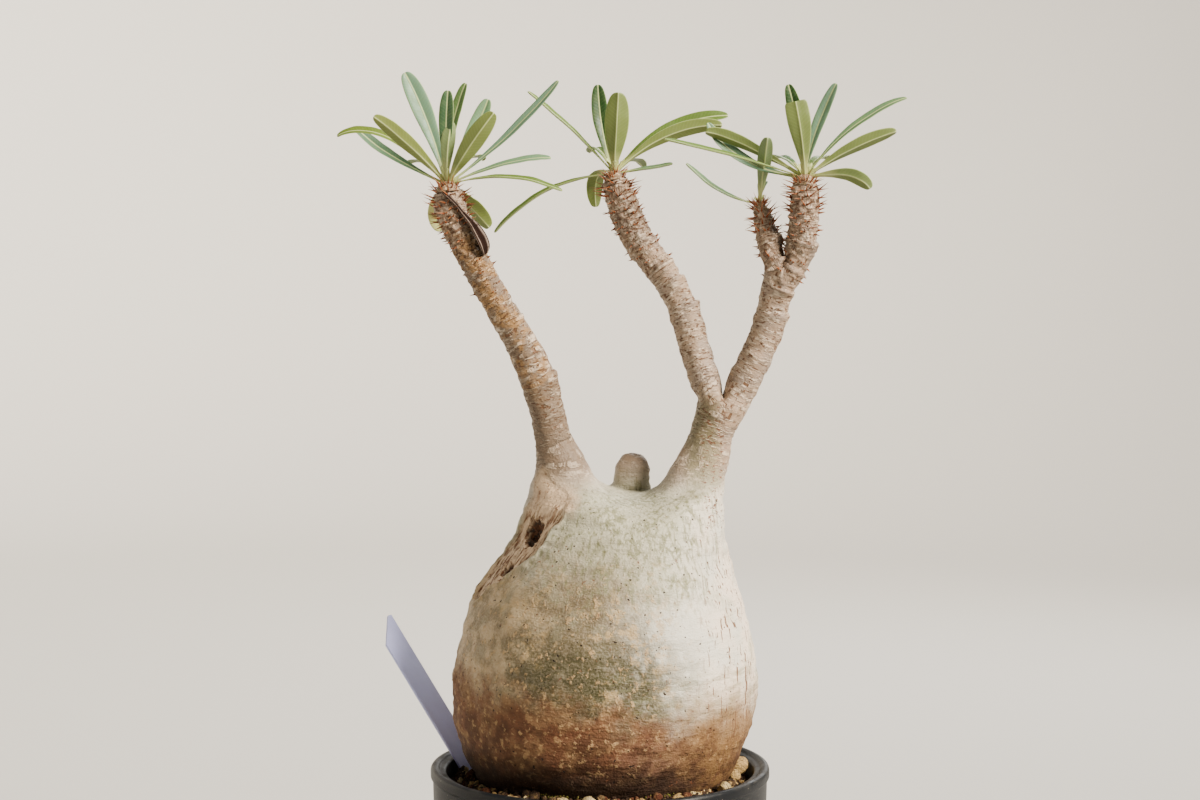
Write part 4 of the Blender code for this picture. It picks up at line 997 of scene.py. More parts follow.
def caudex_cage(bm):
    """Rings of the caudex and its cap, whose vertices it gives by grid place."""
    places = cap_rim()
    grow = swell(len(places))
    rings = []
    for height, centre, half_width in CAUDEX_RINGS:
        ring = []
        for place in places:
            u, v = disc_point(*cap_share(place))
            ring.append(bm.verts.new(((centre + half_width * grow * u) * MM,
                                      half_width * DEPTH_RATIO * grow * v * MM, height * MM)))
        rings.append(ring)
    grid = {}
    for i in range(CAP_COLUMNS + 1):
        for j in range(CAP_ROWS + 1):
            s, t = cap_share((i, j))
            u, v = disc_point(s, t)
            grid[i, j] = bm.verts.new(((CAP_CENTRE + CAP_HALF_WIDTH * grow * u) * MM,
                                       CAP_HALF_DEPTH * grow * v * MM, cap_height(s, t) * MM))
    rings.append([grid[place] for place in places])
    for low, high in zip(rings, rings[1:]):
        bridge(bm, low, high)
    bm.faces.new(list(reversed(rings[0])))
    return grid


def tangents(stations):
    """Direction of a limb at each of its stations."""
    points = [Vector(station[:3]) for station in stations]
    ways = []
    for k in range(len(points)):
        ways.append((points[min(k + 1, len(points) - 1)] - points[max(k - 1, 0)]).normalized())
    return ways


def limb(bm, loop, stations, first_angle, twist=0.0):
    """Grow a limb from a loop of vertices through its stations, and give its last ring."""
    sides = len(loop)
    grow = swell(sides)
    for k, (station, way) in enumerate(zip(stations, tangents(stations))):
        across = (Vector((1, 0, 0)) - way * way.x).normalized()
        back = way.cross(across)
        turn = first_angle + twist * (k + 1) / len(stations)
        ring = []
        for side in range(sides):
            angle = math.radians(turn) + side * math.tau / sides
            out = across * math.cos(angle) + back * math.sin(angle)
            ring.append(bm.verts.new((Vector(station[:3]) + out * station[3] * grow) * MM))
        bridge(bm, loop, ring)
        loop = ring
    return loop


def close_tip(bm, ring, flat=True):
    """Close a limb's end, flat and sharp where a rosette sits on it."""
    face = bm.faces.new(ring)
    if flat:
        crease = bm.edges.layers.float.get("crease_edge")
        for edge in face.edges:
            edge[crease] = 1.0


def close_grid(bm, grid, open_faces):
    """Fill the cap's faces, apart from those that limbs grow from."""
    for i in range(CAP_COLUMNS):
        for j in range(CAP_ROWS):
            if (i, j) not in open_faces:
                bm.faces.new((grid[i, j], grid[i + 1, j], grid[i + 1, j + 1], grid[i, j + 1]))


def block_loop(grid, i, j):
    """Loop round a block of two by two cap faces, from its front left corner."""
    places = ((i, j), (i + 1, j), (i + 2, j), (i + 2, j + 1), (i + 2, j + 2), (i + 1, j + 2),
              (i, j + 2), (i, j + 1))
    return [grid[place] for place in places]


def stem_cage():
    """Coarse cage of the whole grown stem: caudex, limbs, forks and stub."""
    bm = bmesh.new()
    bm.edges.layers.float.new("crease_edge")
    grid = caudex_cage(bm)
    limb_faces = {(i, j) for i in (0, 1, 4, 5) for j in (1, 2)}
    stub_faces = {(2, 3), (3, 3)}
    close_grid(bm, grid, limb_faces | stub_faces)
    close_tip(bm, limb(bm, block_loop(grid, 0, 1), LEFT_BRANCH, -135))
    stub_loop = [grid[place] for place in ((2, 3), (3, 3), (4, 3), (4, 4), (3, 4), (2, 4))]
    close_tip(bm, limb(bm, stub_loop, STUB, -150), flat=False)

    top = limb(bm, block_loop(grid, 4, 1), TRUNK, -135)
    crotch = bm.verts.new(sum((v.co for v in top), Vector()) / len(top) + Vector((0, 0, 0.5 * MM)))
    left = [top[0], top[1], crotch, top[5], top[6], top[7]]
    right = [top[1], top[2], top[3], top[4], top[5], crotch]
    close_tip(bm, limb(bm, left, CENTRE_BRANCH, -120))
    fork = limb(bm, right, RIGHT_BRANCH, -120, RIGHT_BRANCH_TWIST)
    close_tip(bm, limb(bm, [fork[0], fork[3], fork[4], fork[5]], SMALL_ARM, -45))
    close_tip(bm, limb(bm, fork[:4], MAIN_ARM, -135))
    for spare in (grid[1, 2], grid[5, 2]):
        bm.verts.remove(spare)
    bmesh.ops.recalc_face_normals(bm, faces=bm.faces)
    return mesh_from(bm, "stem_cage")


def eased(chain):
    """Stations with more between them, on a curve through them all."""
    rows = np.array((chain[0], *chain, chain[-1]), float)
    result = []
    for k in range(len(chain) - 1):
        before, low, high, after = rows[k:k + 4]
        for part in range(AXIS_STEPS):
            t = part / AXIS_STEPS
            result.append(low + 0.5 * t * ((high - before) + t * (2 * before - 5 * low + 4 * high
                          - after + t * (3 * (low - high) + after - before))))
    return [tuple(map(float, row)) for row in (*result, rows[-1])]


def axis_segments():
    """Pieces of the limbs' axes: start, step, radius, side ways, length so far, foot, crown."""
    pieces, ends = [], {}
    for name, (stations, parent, crown) in LIMBS.items():
        if parent is None:
            x, y, z, radius = stations[0]
            first, run, foot = (x, y, z - FOOT_DROP, radius), z - FOOT_DROP, (x, y)
        else:
            first, run, foot = ends[parent]
        chain = eased((first, *stations))
        for low, high in zip(chain, chain[1:]):
            start, step = Vector(low[:3]), Vector(high[:3]) - Vector(low[:3])
            way = step.normalized()
            across = (Vector((1, 0, 0)) - way * way.x).normalized()
            pieces.append((start, step, (low[3] + high[3]) / 2, across, way.cross(across), run,
                           foot, crown))
            run += step.length
        ends[name] = (chain[-1], run, foot)
    return [(*piece[:7], ends[piece[7]][1] if piece[7] else None) for piece in pieces]


def limb_places(points):
    """Place of points along their nearest limb (across, back, along), and mm below its crown."""
    nearest = np.full(len(points), np.inf)
    place, below = np.zeros((len(points), 3)), np.full(len(points), NO_CROWN)
    for start, step, radius, across, back, run, foot, crown_run in axis_segments():
        offset = points - np.array(start)
        share = np.clip(offset @ np.array(step) / step.length_squared, 0.0, 1.0)
        away = offset - share[:, None] * np.array(step)
        reach = np.linalg.norm(away, axis=1) / radius
        close = reach < nearest
        nearest[close] = reach[close]
        along = run + share * step.length
        found = np.column_stack((away @ np.array(across) + foot[0], away @ np.array(back) + foot[1],
                                 along))
        place[close] = found[close]
        below[close] = (crown_run - along[close]) if crown_run else NO_CROWN
    return place, below


def scar_share(points):
    """Distance from the scar's centre line, as a share of its half width."""
    nearest = np.full(len(points), np.inf)
    for low, high in zip(SCAR_LINE, SCAR_LINE[1:]):
        start, step = np.array(low[:3], float), np.array(high[:3], float) - np.array(low[:3])
        share = np.clip((points - start) @ step / (step @ step), 0.0, 1.0)
        away = np.linalg.norm(points - start - share[:, None] * step, axis=1)
        nearest = np.minimum(nearest, away / (low[3] + (high[3] - low[3]) * share))
    return nearest


def refine(bm, wanted, cuts):
    """Split the faces whose middle, in mm, is wanted."""
    edges = {edge for face in bm.faces if wanted(face.calc_center_median() / MM)
             for edge in face.edges}
    bmesh.ops.subdivide_edges(bm, edges=list(edges), cuts=cuts, use_grid_fill=True)


def knob_relief(place, limb_share):
    """Height of the knobs: each a sharp ledge towards the crown that slopes away below."""
    height = np.zeros(len(place))
    spots, _ = limb_places(np.array([knob[:3] for knob in KNOBS], float))
    for spot, (*_, rise, slope) in zip(spots, KNOBS):
        beside = np.linalg.norm(place[:, :2] - spot[:2], axis=1)
        along = place[:, 2] - spot[2]
        fall = np.where(along > 0, np.exp(-(along / 0.7) ** 2), np.exp(np.minimum(along, 0) / slope * 1.4))
        height += rise * np.exp(-(beside / 4.6) ** 2) * fall
    return height * limb_share


def station_point(stations, below):
    """Point and direction on a limb's axis, so far below its tip."""
    points = [Vector(station[:3]) for station in reversed(stations)]
    for high, low in zip(points, points[1:]):
        step = (low - high).length
        if below <= step:
            return high.lerp(low, below / step), (high - low).normalized()
        below -= step
    return points[-1], (points[-2] - points[-1]).normalized()


def cushion_places():
    """Spine cushions in a spiral that opens out downwards: axis point, way, out, mm below."""
    places = []
    turn = 0.0
    for stations, lower, reach in CUSHIONS:
        chain = (*lower, *stations)
        below = 0.7
        while below < reach:
            point, way = station_point(chain, below)
            across = (Vector((1, 0, 0)) - way * way.x).normalized()
            out = across * math.cos(turn) + way.cross(across) * math.sin(turn)
            places.append((point, way, out, below))
            turn += GOLDEN_TURN
            below += (9.0 + 0.2 * below) / (math.tau * stations[-1][3])
    return places


def carve(points, normals):
    """Push the scar's hollows in along the normals, and give the depth at each vertex."""
    depth = np.zeros(len(points))
    for *centre, rx, ry, rz in HOLLOWS:
        radii = np.array((rx, ry, rz)) * (1 + 0.18 * cloud(points, 2.6, 41.0))[:, None]
        from_middle = (points - np.array(centre)) / radii
        way = normals / radii
        square = (way * way).sum(axis=1)
        lean = (from_middle * way).sum(axis=1)
        inside = (from_middle * from_middle).sum(axis=1) < 1
        root = lean ** 2 - square * ((from_middle ** 2).sum(axis=1) - 1)
        push = np.where(inside, (lean + np.sqrt(np.maximum(root, 0))) / square, 0)
        depth = np.maximum(depth, push)
    return depth


def stem_mesh(settings):
    """The stem: a smooth cage with ridges, wrinkles, knobs, cushions, scar and hollows."""
    smooth_stem = helper_object("stem_smooth", stem_cage())
    soft = smooth_stem.modifiers.new("round", "SUBSURF")
    soft.levels = soft.render_levels = 3
    base = finished_mesh(smooth_stem)
    bm = bmesh.new()
    bm.from_mesh(base)
    refine(bm, lambda middle: middle.z > 330, 1)
    refine(bm, lambda middle: scar_share(np.array([middle]))[0] < 1.25, 3)
    bm.to_mesh(base)
    surface = BVHTree.FromBMesh(bm)
    bm.free()

    points, normals = read_vertices(base, "co") / MM, read_vertices(base, "normal")
    limb_share = ramp(points[:, 2], LIMBS_START, LIMBS_FULL)
    body = 1 - limb_share
    along, below = limb_places(points)
    place = points * body[:, None] + along * limb_share[:, None]
    crown = (1 - ramp(below, 14, 62)) * limb_share
    share = scar_share(points) + 0.12 * cloud(points, 6.0, 31.0)
    merging = ramp(points[:, 2], 238, 250)
    scar = (1 - ramp(share, 0.86, 0.98)) * (1 - 0.7 * merging)
    middle, radii = np.array(BLUSH)
    blush = np.linalg.norm((points - middle) / radii, axis=1) + 0.2 * cloud(points, 4.0, 53.0)

    height = body * (settings.ridge / MM * (0.6 * cloud(place, (30, 30, 6.2))
                                            + 0.4 * cloud(place, (14, 14, 2.6), 7.0))
                     + settings.lump / MM * 0.5 * cloud(points, 24.0, 3.0))
    height += limb_share * (settings.wrinkle / MM * 0.5 * cloud(place, (5, 5, 1.7), 11.0)
                            + 0.35 * cloud(place, 7.0, 17.0))
    height += crown * settings.rough / MM * 0.4 * cloud(place, 1.7, 23.0)
    height += knob_relief(along, limb_share)
    start, end, level, slope = LEDGE
    above = points[:, 2] - level - slope * (points[:, 0] - start) - 1.2 * cloud(points, 16.0, 61.0)
    window = ramp(points[:, 0], start, start + 14) * (1 - ramp(points[:, 0], end - 12, end))
    height += 0.6 * body * window * np.where(points[:, 1] < 0, 1.0, 0.0) * (
        np.tanh(above / 0.6) * np.exp(-(above / 6.0) ** 2))
    for *middle, rise, wide in WARTS:
        far = np.linalg.norm(points - np.array(middle), axis=1)
        height += rise * body * np.exp(-(np.maximum(far - 3.0, 0) / wide) ** 2) * (
            0.7 + 0.3 * cloud(points, 1.6, 71.0))
    tree = KDTree(len(points))
    for index, point in enumerate(points):
        tree.insert(point, index)
    tree.balance()
    for point, _, out, down in cushion_places():
        hit = surface.ray_cast(point * MM, out, 14 * MM)[0]
        if hit is None:
            continue
        for _, index, far in tree.find_range(hit / MM, 2.4):
            height[index] += settings.cushion / MM * (1 - 0.55 * down / 60) * math.exp(-(far / 1.1) ** 2)
    wood = np.array(Matrix(GRAIN_OF_WOOD.rotation_difference(Vector((0, 0, 1))).to_matrix()))
    fibre = points @ wood.T
    height = height * (1 - 0.8 * scar) + scar * (0.55 * cloud(fibre, (1.5, 1.5, 12), 5.0) - 1.3)
    height += 0.9 * np.exp(-((share - 1.02) / 0.1) ** 2) * (1 - 0.9 * merging)
    points = points + normals * height[:, None]
    depth = carve(points, normals)
    points = points - normals * depth[:, None]

    base.vertices.foreach_set("co", (points * MM).ravel())
    base.update()
    store(base, "place", place)
    store(base, "limb", limb_share)
    store(base, "crown", crown)
    bare = np.maximum(1 - ramp(share, 0.86 - 0.3 * merging, 0.98 + 0.35 * merging),
                      0.8 - 0.8 * ramp(blush, 0.5, 1.2))
    store(base, "scar", bare)
    # The carved depth, which darkens the hollows: partly painted shade
    store(base, "hollow", ramp(depth, 0.4, 2.4))
    smooth(base)
    return base


def spine_shape():
    """A curved thorn one long and one in radius at its foot, along +Z."""
    sides, rows = 6, ((-0.25, 1.15), (0.0, 1.0), (0.35, 0.66), (0.7, 0.34), (1.0, 0.03))
    points = [(radius * math.cos(k * math.tau / sides) * 0.1 + 0.09 * max(0, rise) ** 2,
               radius * math.sin(k * math.tau / sides) * 0.1, rise)
              for rise, radius in rows for k in range(sides)]
    faces = [tuple(range(sides - 1, -1, -1))]
    for row in range(len(rows) - 1):
        for k in range(sides):
            low, after = row * sides + k, row * sides + (k + 1) % sides
            faces.append((low, after, after + sides, low + sides))
    faces.append(tuple(range((len(rows) - 1) * sides, len(rows) * sides)))
    return np.array(points), faces


def spine_mesh(settings, stem, leafy):
    """Pairs of spines on the cushions, long at the crowns and worn lower down."""
    draw = random.Random(CUSHION_SEED)
    graph = bpy.context.evaluated_depsgraph_get()
    surface = BVHTree.FromObject(stem, graph)
    leaves = [BVHTree.FromObject(piece, graph) for piece in leafy]
    points, faces = spine_shape()
    share = np.clip(points[:, 2:3], 0, 1)
    hue = np.array(settings.foot[:3]) * (1 - share) + np.array(settings.point[:3]) * share
    copies = []

    def add_spine(foot, lean, whole):
        """Add one spine, unless it would touch a leaf."""
        spots = [foot + lean * whole * part for part in (0.3, 0.65, 1.0)]
        if any(tree.find_nearest(spot, 0.45 * MM)[0] for tree in leaves for spot in spots):
            return
        turn = Vector((0, 0, 1)).rotation_difference(lean).to_matrix().to_4x4()
        spin = Matrix.Rotation(draw.uniform(0, math.tau), 4, "Z")
        thick = settings.radius / MM * 10 * draw.uniform(0.8, 1.15)
        stretch = Matrix.Diagonal((thick, thick, whole / MM, 1))
        copies.append((points, faces, Matrix.Translation(foot / MM) @ turn @ spin @ stretch,
                       hue * draw.uniform(0.7, 1.15)))

    for stations, *_ in CUSHIONS:
        top, axis = Vector(stations[-1][:3]), tangents(stations)[-1]
        across = (Vector((1, 0, 0)) - axis * axis.x).normalized()
        for count in range(CROWN_SPINES):
            angle = count * GOLDEN_TURN
            out = across * math.cos(angle) + axis.cross(across) * math.sin(angle)
            rise = GAP + CROWN_HEIGHT * draw.uniform(0.05, 0.7)
            far = stations[-1][3] * (0.92 - 0.5 * (rise - GAP) / CROWN_HEIGHT)
            lean = (out + axis * draw.uniform(0.3, 1.6)).normalized()
            add_spine((top + axis * rise + out * far) * MM, lean,
                      settings.long * draw.uniform(0.55, 1.0))
    for point, way, out, below in cushion_places():
        worn = min(1.0, below / 55)
        hit, normal, _, _ = surface.ray_cast(point * MM, out, 14 * MM)
        if hit is None or draw.random() < 0.1 + 0.95 * worn:
            continue
        beside = way.cross(out)
        for sign in (-1, 1):
            fresh = 1 - min(1.0, below / 22)
            whole = settings.short + (settings.long - settings.short) * max(fresh, 0.25) * draw.uniform(0.6, 1.1)
            if worn > 0.45 and draw.random() < 0.5:
                whole *= 0.5
            lean = (out + beside * sign * draw.uniform(0.25, 0.6)
                    + way * draw.uniform(-0.15, 0.35 + 0.5 * fresh)).normalized()
            add_spine(hit + beside * sign * 0.7 * MM, lean, whole)
    mesh = combined("spines", copies)
    smooth(mesh)
    return mesh


def bend(path, share):
    """Point of the curve that leaves the first point, and passes the middle one."""
    first, middle, last = (Vector(point) for point in path)
    pull = middle * 2 - (first + last) / 2
    return first * (1 - share) ** 2 + pull * 2 * share * (1 - share) + last * share ** 2


def blade_width(share, width, widest):
    """Half width of a blade: a narrow foot, widest past its middle, and a round tip."""
    foot, power = (0.28, 0.6) if share ** widest < 0.5 else (0.02, 0.34)
    return width / 2 * max(foot, math.sin(math.pi * share ** widest) ** power)


def blade_frames(path, turn, low, high):
    """Rows of a blade from one share of its length to another: share, place, side, normal."""
    shares = [low + (high - low) * (1 - (1 - row / LEAF_ROWS) ** 1.5) for row in range(LEAF_ROWS + 1)]
    shares[-1] = min(high, 0.999)
    points = [bend(path, share) for share in shares]
    flat = Vector((points[-1].x - points[0].x, points[-1].y - points[0].y, 0)).normalized()
    viewer = Vector((0, -1, 0)) * (1 if turn > 0 else -1)
    rows = []
    for share, point, way in zip(shares, points, tangents(points)):
        inner = Vector((0, 0, 1)) * way.dot(flat) - flat * way.z
        normal = inner.normalized() * (1 - abs(turn)) + viewer * abs(turn)
        normal = (normal - way * normal.dot(way)).normalized()
        rows.append((share, point, way.cross(normal), normal))
    return rows


def blade_section(half, lateral, over, leaves, fold):
    """Height of a blade's surface above its midrib's middle, for its upper or lower face."""
    part = abs(lateral)
    lift = 2 * half * fold * (part ** 1.25 - 0.25 * part ** 6)
    thick = leaves.thickness / MM / 2 * (1 - 0.78 * part ** 4) * min(1.0, half / 1.2)
    rib = math.exp(-(lateral * half / 0.5) ** 2) * min(1.0, half / 1.5)
    return lift + (thick - 0.12 * rib if over else -thick - leaves.midrib / MM * rib)


def grow_blade(parts, path, width, turn, fold, hue, leaves, ripple=0.0, span=(0.0, 0.999),
               widest=WIDEST):
    """Add a blade's rings, faces and values to the parts of a rosette."""
    columns = [(s, True) for s in LEAF_COLUMNS] + [(s, False) for s in LEAF_COLUMNS[-2:0:-1]]
    sides = len(columns)
    first = len(parts["points"])
    length = (Vector(path[2]) - Vector(path[0])).length
    shift = first * 0.37
    for share, point, side, normal in blade_frames(path, turn, *span):
        corner = min(1.0, (min(span[1], 0.999) - share) / 0.035)
        blunt = 1.0 if span[1] > 0.9 else 0.8 + 0.2 * math.sqrt(1 - (1 - corner) ** 2)
        half = blade_width(share, width, widest) * blunt
        wave = 0.45 * noise.noise((share * 4.0, shift, 0.0)) * min(1.0, 3 * share)
        for lateral, over in columns:
            rise = blade_section(half, lateral, over, leaves, fold) + wave
            if ripple:
                rise += ripple * half * math.cos(lateral * math.pi * DRIED_RIPPLES)
            rise += 0.25 * noise.noise((share * 9.0, lateral * 1.2, shift)) * abs(lateral)
            parts["points"].append(point + side * lateral * half + normal * rise)
            parts["blade"].append((abs(lateral * half), share * length, abs(lateral)))
            parts["upper"].append(1.0 if over else 0.0)
            parts["tint"].append(hue)
            crest = max(0.0, math.cos(lateral * math.pi * DRIED_RIPPLES)) ** 12
            parts["crest"].append(crest if ripple else 0.0)
    for row in range(LEAF_ROWS):
        for k in range(sides):
            low, after = first + row * sides + k, first + row * sides + (k + 1) % sides
            parts["faces"].append((low, after, after + sides, low + sides))
    parts["faces"].append(tuple(range(first + sides - 1, first - 1, -1)))
    parts["faces"].append(tuple(range(first + LEAF_ROWS * sides, first + (LEAF_ROWS + 1) * sides)))


def new_parts():
    """Empty lists for the vertices, faces and values of a leafy piece."""
    return {name: [] for name in ("points", "faces", "blade", "upper", "tint", "crest")}


def leafy_mesh(name, parts):
    """One mesh of all the blades, with their values by vertex."""
    mesh = bpy.data.meshes.new(name)
    mesh.from_pydata([point * MM for point in parts["points"]], [], parts["faces"])
    for value in ("blade", "upper", "tint", "crest"):
        store(mesh, value, np.array(parts[value], float))
    smooth(mesh)
    return mesh


def leaf_hue(tone, leaves, draw):
    """Colour of a leaf by its tone, a little lighter or darker at random."""
    hues = [np.array(hue[:3]) for hue in (leaves.olive, leaves.green, leaves.bloom,
                                                leaves.deep, leaves.foot)]
    low = min(int(tone), 3)
    return (hues[low] * (low + 1 - tone) + hues[low + 1] * (tone - low)) * draw.uniform(0.92, 1.08)


def grow_core(parts, foot, axis, radius, leaves):
    """Add the short bumpy cone of leaf feet that the leaves stand on."""
    first = len(parts["points"])
    across = (Vector((1, 0, 0)) - axis * axis.x).normalized()
    back = axis.cross(across)
    for row in range(CROWN_ROWS + 1):
        share = row / CROWN_ROWS
        ring = radius * (0.96 - 0.46 * share - 0.4 * max(0.0, share - 0.8) / 0.2)
        for k in range(CROWN_SIDES):
            angle = k * math.tau / CROWN_SIDES
            bump = 1 + 0.07 * noise.noise((4 * math.cos(angle), 4 * math.sin(angle), share * 5))
            out = across * math.cos(angle) + back * math.sin(angle)
            parts["points"].append(foot + axis * (GAP + CROWN_HEIGHT * share) + out * ring * bump)
            parts["blade"].append((2.0, 40.0 - 34.0 * share, 0.5))
            parts["upper"].append(1.0)
            parts["tint"].append(np.array(leaves.crown[:3]))
            parts["crest"].append(1.0)
    for row in range(CROWN_ROWS):
        for k in range(CROWN_SIDES):
            low = first + row * CROWN_SIDES + k
            after = first + row * CROWN_SIDES + (k + 1) % CROWN_SIDES
            parts["faces"].append((low, after, after + CROWN_SIDES, low + CROWN_SIDES))
    parts["faces"].append(tuple(range(first + CROWN_SIDES - 1, first - 1, -1)))
    parts["faces"].append(tuple(range(first + CROWN_ROWS * CROWN_SIDES,
                                      first + (CROWN_ROWS + 1) * CROWN_SIDES)))


def rosette_mesh(name, stations, blades, leaves):
    """A crown of leaves on its limb's flat tip."""
    draw = random.Random(CROWN_SEED)
    foot, axis = Vector(stations[-1][:3]), tangents(stations)[-1]
    centre = foot + axis * (GAP + CROWN_RISE)
    parts = new_parts()
    grow_core(parts, foot, axis, stations[-1][3], leaves)
    for tip, middle, width, turn, tone, *span in blades:
        path = (centre, centre + Vector(middle), centre + Vector(tip))
        # A leaf that is seen only up to its bend lies flat there
        fold = leaves.fold * (0.25 if span and span[1] < 1 else 1.0)
        grow_blade(parts, path, width, turn, fold, leaf_hue(tone, leaves, draw), leaves,
                   span=span or (0.0, 0.999))
    for count in range(round(YOUNG_LEAVES * (stations[-1][3] / CROWN_RADIUS) ** 2)):
        angle = count * GOLDEN_TURN
        out = Vector((math.cos(angle), math.sin(angle), draw.uniform(1.0, 2.6))).normalized()
        start = centre + Vector((out.x, out.y, 0)) * stations[-1][3] * 0.3
        tip = start + out * draw.uniform(0.9, 1.5) * stations[-1][3]
        middle = (start + tip) / 2 + Vector((0, 0, 0.6))
        grow_blade(parts, (start, middle, tip), draw.uniform(1.5, 2.2), draw.uniform(-0.5, 0.5),
                   leaves.fold, leaf_hue(1.0, leaves, draw), leaves)
    return leafy_mesh(name, parts)


def dried_mesh(leaves):
    """The folded, rippled dried leaf, which is widest near its hooked tip."""
    parts = new_parts()
    grow_blade(parts, DRIED_PATH, DRIED_WIDTH, 0.5, DRIED_FOLD, leaves.dry[:3], leaves,
               ripple=0.09, widest=DRIED_WIDEST)
    return leafy_mesh("dried_leaf_curled", parts)


def sweep_mesh():
    """A round studio floor that curves up to a low wall, so that no edge shows behind."""
    bm = bmesh.new()
    rings = []
    for step in range(SWEEP_STEPS + 1):
        angle = step / SWEEP_STEPS * math.pi / 2
        radius = SWEEP_RADIUS + SWEEP_CURVE * math.sin(angle)
        height = SWEEP_CURVE * (1 - math.cos(angle))
        rings.append([bm.verts.new((radius * math.cos(k * math.tau / SWEEP_SIDES),
                                    radius * math.sin(k * math.tau / SWEEP_SIDES), height))
                      for k in range(SWEEP_SIDES)])
    for low, high in zip(rings, rings[1:]):
        bridge(bm, high, low)
    bm.faces.new(rings[0])
    mesh = mesh_from(bm, "floor")
    smooth(mesh)
    return mesh


def add_light(name, kind, place, hue, **settings):
    """A soft light at a place, aimed at the plant."""
    light = bpy.data.lights.new(name, kind)
    light.color = hue[:3]
    for setting, value in settings.items():
        setattr(light, setting, value)
    lamp = helper_object(name, light)
    lamp.location = place
    lamp.rotation_euler = (Vector(LIT_POINT) - Vector(place)).to_track_quat("-Z", "Y").to_euler()


class PACHYPODIUM_OT_pot(bpy.types.Operator):
    """Turn the moulded black pot"""
    bl_idname = "pachypodium.pot"
    bl_label = "Add pot"

    def execute(self, context):
        """Add the pot in place of its CAD node."""
        settings = context.scene.pachypodium.pot
        add_piece("pot_moulded", pot_mesh(settings), "pot_plastic", moulded_polypropylene(settings),
                  "pot")
        return {"FINISHED"}


class PACHYPODIUM_OT_mix(bpy.types.Operator):
    """Fill the pot with the gritty mix"""
    bl_idname = "pachypodium.mix"
    bl_label = "Add mix"

    def execute(self, context):
        """Add the mix and its loose grains in place of their CAD node."""
        settings = context.scene.pachypodium.mix
        stony = crushed_pumice(settings)
        add_piece("mix_body", mix_body(settings), "pumice_mix", stony, "substrate")
        grains = mix_grains(settings)
        smooth(grains, 40.0)
        add_piece("mix_grains", grains, "pumice_mix", stony)
        return {"FINISHED"}


class PACHYPODIUM_OT_stem(bpy.types.Operator):
    """Grow the caudex, its limbs and the woody scar"""
    bl_idname = "pachypodium.stem"
    bl_label = "Add stem"

    def execute(self, context):
        """Add the stem in place of its CAD node."""
        settings = context.scene.pachypodium.stem
        add_piece("stem_bark", stem_mesh(settings), "bark", grown_bark(settings),
                  "caudex_and_branches")
        return {"FINISHED"}


class PACHYPODIUM_OT_rosettes(bpy.types.Operator):
    """Grow the leaf rosettes and the dried leaf"""
    bl_idname = "pachypodium.rosettes"
    bl_label = "Add leaves"

    def execute(self, context):
        """Add the leafy pieces in place of their CAD nodes."""
        leaves = context.scene.pachypodium.leaves
        waxy = waxy_leaf(leaves)
        for name, stations, blades in (("left", LEFT_BRANCH, LEFT_LEAVES),
                                       ("centre", CENTRE_BRANCH, CENTRE_LEAVES),
                                       ("right", MAIN_ARM, RIGHT_LEAVES),
                                       ("small", SMALL_ARM, SMALL_LEAVES)):
            mesh = rosette_mesh(f"leaves_{name}", stations, blades, leaves)
            add_piece(f"leaves_{name}", mesh, "leaf", waxy, f"rosette_{name}")
        add_piece("dried_leaf_curled", dried_mesh(leaves), "dried_leaf", dried_skin(leaves),
                  "dried_leaf")
        return {"FINISHED"}


class PACHYPODIUM_OT_spines(bpy.types.Operator):
    """Set the paired spines on the stem"""
    bl_idname = "pachypodium.spines"
    bl_label = "Add spines"

    def execute(self, context):
        """Add the spines, clear of every leaf. The stem and the leaves come first."""
        objects = context.scene.objects
        leafy = [piece for piece in objects if piece.name.startswith("leaves_")]
        mesh = spine_mesh(context.scene.pachypodium.spines, objects["stem_bark"], leafy)
        add_piece("spines", mesh, "bark", horny_spine())
        return {"FINISHED"}


class PACHYPODIUM_OT_label(bpy.types.Operator):
    """Finish the blank plant label"""
    bl_idname = "pachypodium.label"
    bl_label = "Finish label"

    def execute(self, context):
        """Round the edges of the label's CAD node, and give it its plastic."""
        settings = context.scene.pachypodium.label
        label = frame["nodes"]["plant_label"]
        label.data.materials.clear()
        label.data.materials.append(punched_styrene(settings))
        soft = label.modifiers.new("edge", "BEVEL")
        soft.width = settings.edge
        soft.segments = 2
        return {"FINISHED"}


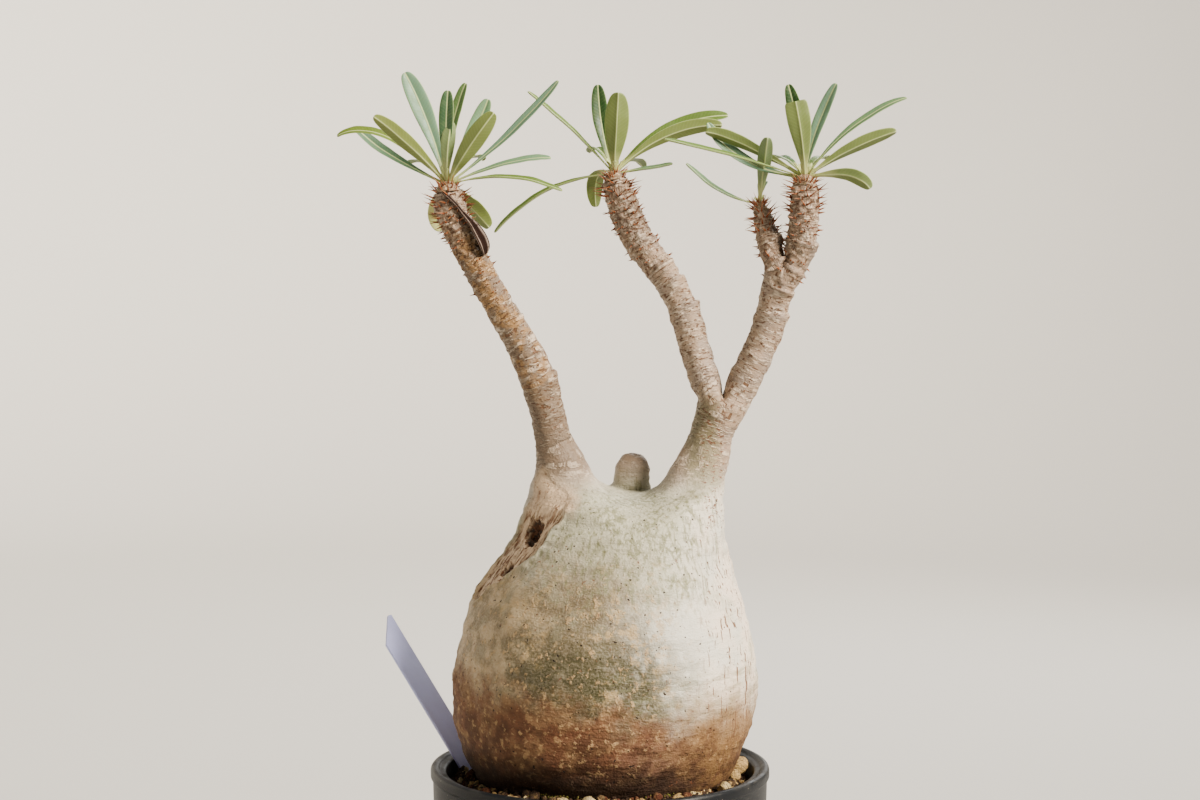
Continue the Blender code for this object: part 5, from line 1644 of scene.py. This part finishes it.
class PACHYPODIUM_OT_stage(bpy.types.Operator):
    """Set up the floor, the lights, the background and the camera"""
    bl_idname = "pachypodium.stage"
    bl_label = "Add stage"

    def execute(self, context):
        """Add everything that isn't part of the plant."""
        settings = context.scene.pachypodium.stage
        mesh = sweep_mesh()
        mesh.materials.append(painted_board(settings))
        helper_object("floor", mesh)

        world = bpy.data.worlds.new("studio")
        world.use_nodes = True
        background = world.node_tree.nodes["Background"]
        background.inputs["Color"].default_value = settings.world
        background.inputs["Strength"].default_value = settings.ambient
        context.scene.world = world
        context.scene.view_settings.look = "AgX - Medium High Contrast"
        add_light("key_right", "SUN", (1.0, -0.7, 1.05), colour("fff6ea"), energy=settings.key,
                  angle=settings.spread)
        add_light("rim_back", "AREA", (0.5, 1.1, 0.9), colour("ffffff"), energy=settings.rim,
                  size=0.7)

        camera = bpy.data.cameras.new("camera")
        camera.lens = CAMERA_LENS
        camera.sensor_width = SENSOR
        camera.sensor_fit = "HORIZONTAL"
        seat = helper_object("camera", camera)
        seat.location = CAMERA_PLACE
        seat.rotation_euler = (math.radians(90 + CAMERA_PITCH), 0, 0)
        context.scene.camera = seat
        return {"FINISHED"}


OPERATORS = (PACHYPODIUM_OT_pot, PACHYPODIUM_OT_mix, PACHYPODIUM_OT_stem, PACHYPODIUM_OT_rosettes,
             PACHYPODIUM_OT_spines, PACHYPODIUM_OT_label, PACHYPODIUM_OT_stage)


class PACHYPODIUM_PT_pieces(bpy.types.Panel):
    """Sidebar panel that lists the pieces"""
    bl_idname = "PACHYPODIUM_PT_pieces"
    bl_label = "Potted Pachypodium"
    bl_space_type = "VIEW_3D"
    bl_region_type = "UI"
    bl_category = "Pachypodium"

    def draw(self, context):
        """One button for each operator."""
        for operator in OPERATORS:
            self.layout.operator(operator.bl_idname)


CLASSES = (PotSettings, MixSettings, StemSettings, SpineSettings, LeafSettings, LabelSettings,
           StageSettings, PlantSettings, *OPERATORS, PACHYPODIUM_PT_pieces)


def register():
    """Register the classes and hang the settings on the scene."""
    for kind in CLASSES:
        bpy.utils.register_class(kind)
    bpy.types.Scene.pachypodium = PointerProperty(type=PlantSettings)


def unregister():
    """Take back what register added."""
    del bpy.types.Scene.pachypodium
    for kind in reversed(CLASSES):
        bpy.utils.unregister_class(kind)


def main():
    """Add every piece in order."""
    register()
    bpy.ops.pachypodium.pot()
    bpy.ops.pachypodium.mix()
    bpy.ops.pachypodium.stem()
    bpy.ops.pachypodium.rosettes()
    bpy.ops.pachypodium.spines()
    bpy.ops.pachypodium.label()
    bpy.ops.pachypodium.stage()


if __name__ == "__main__":
    main()
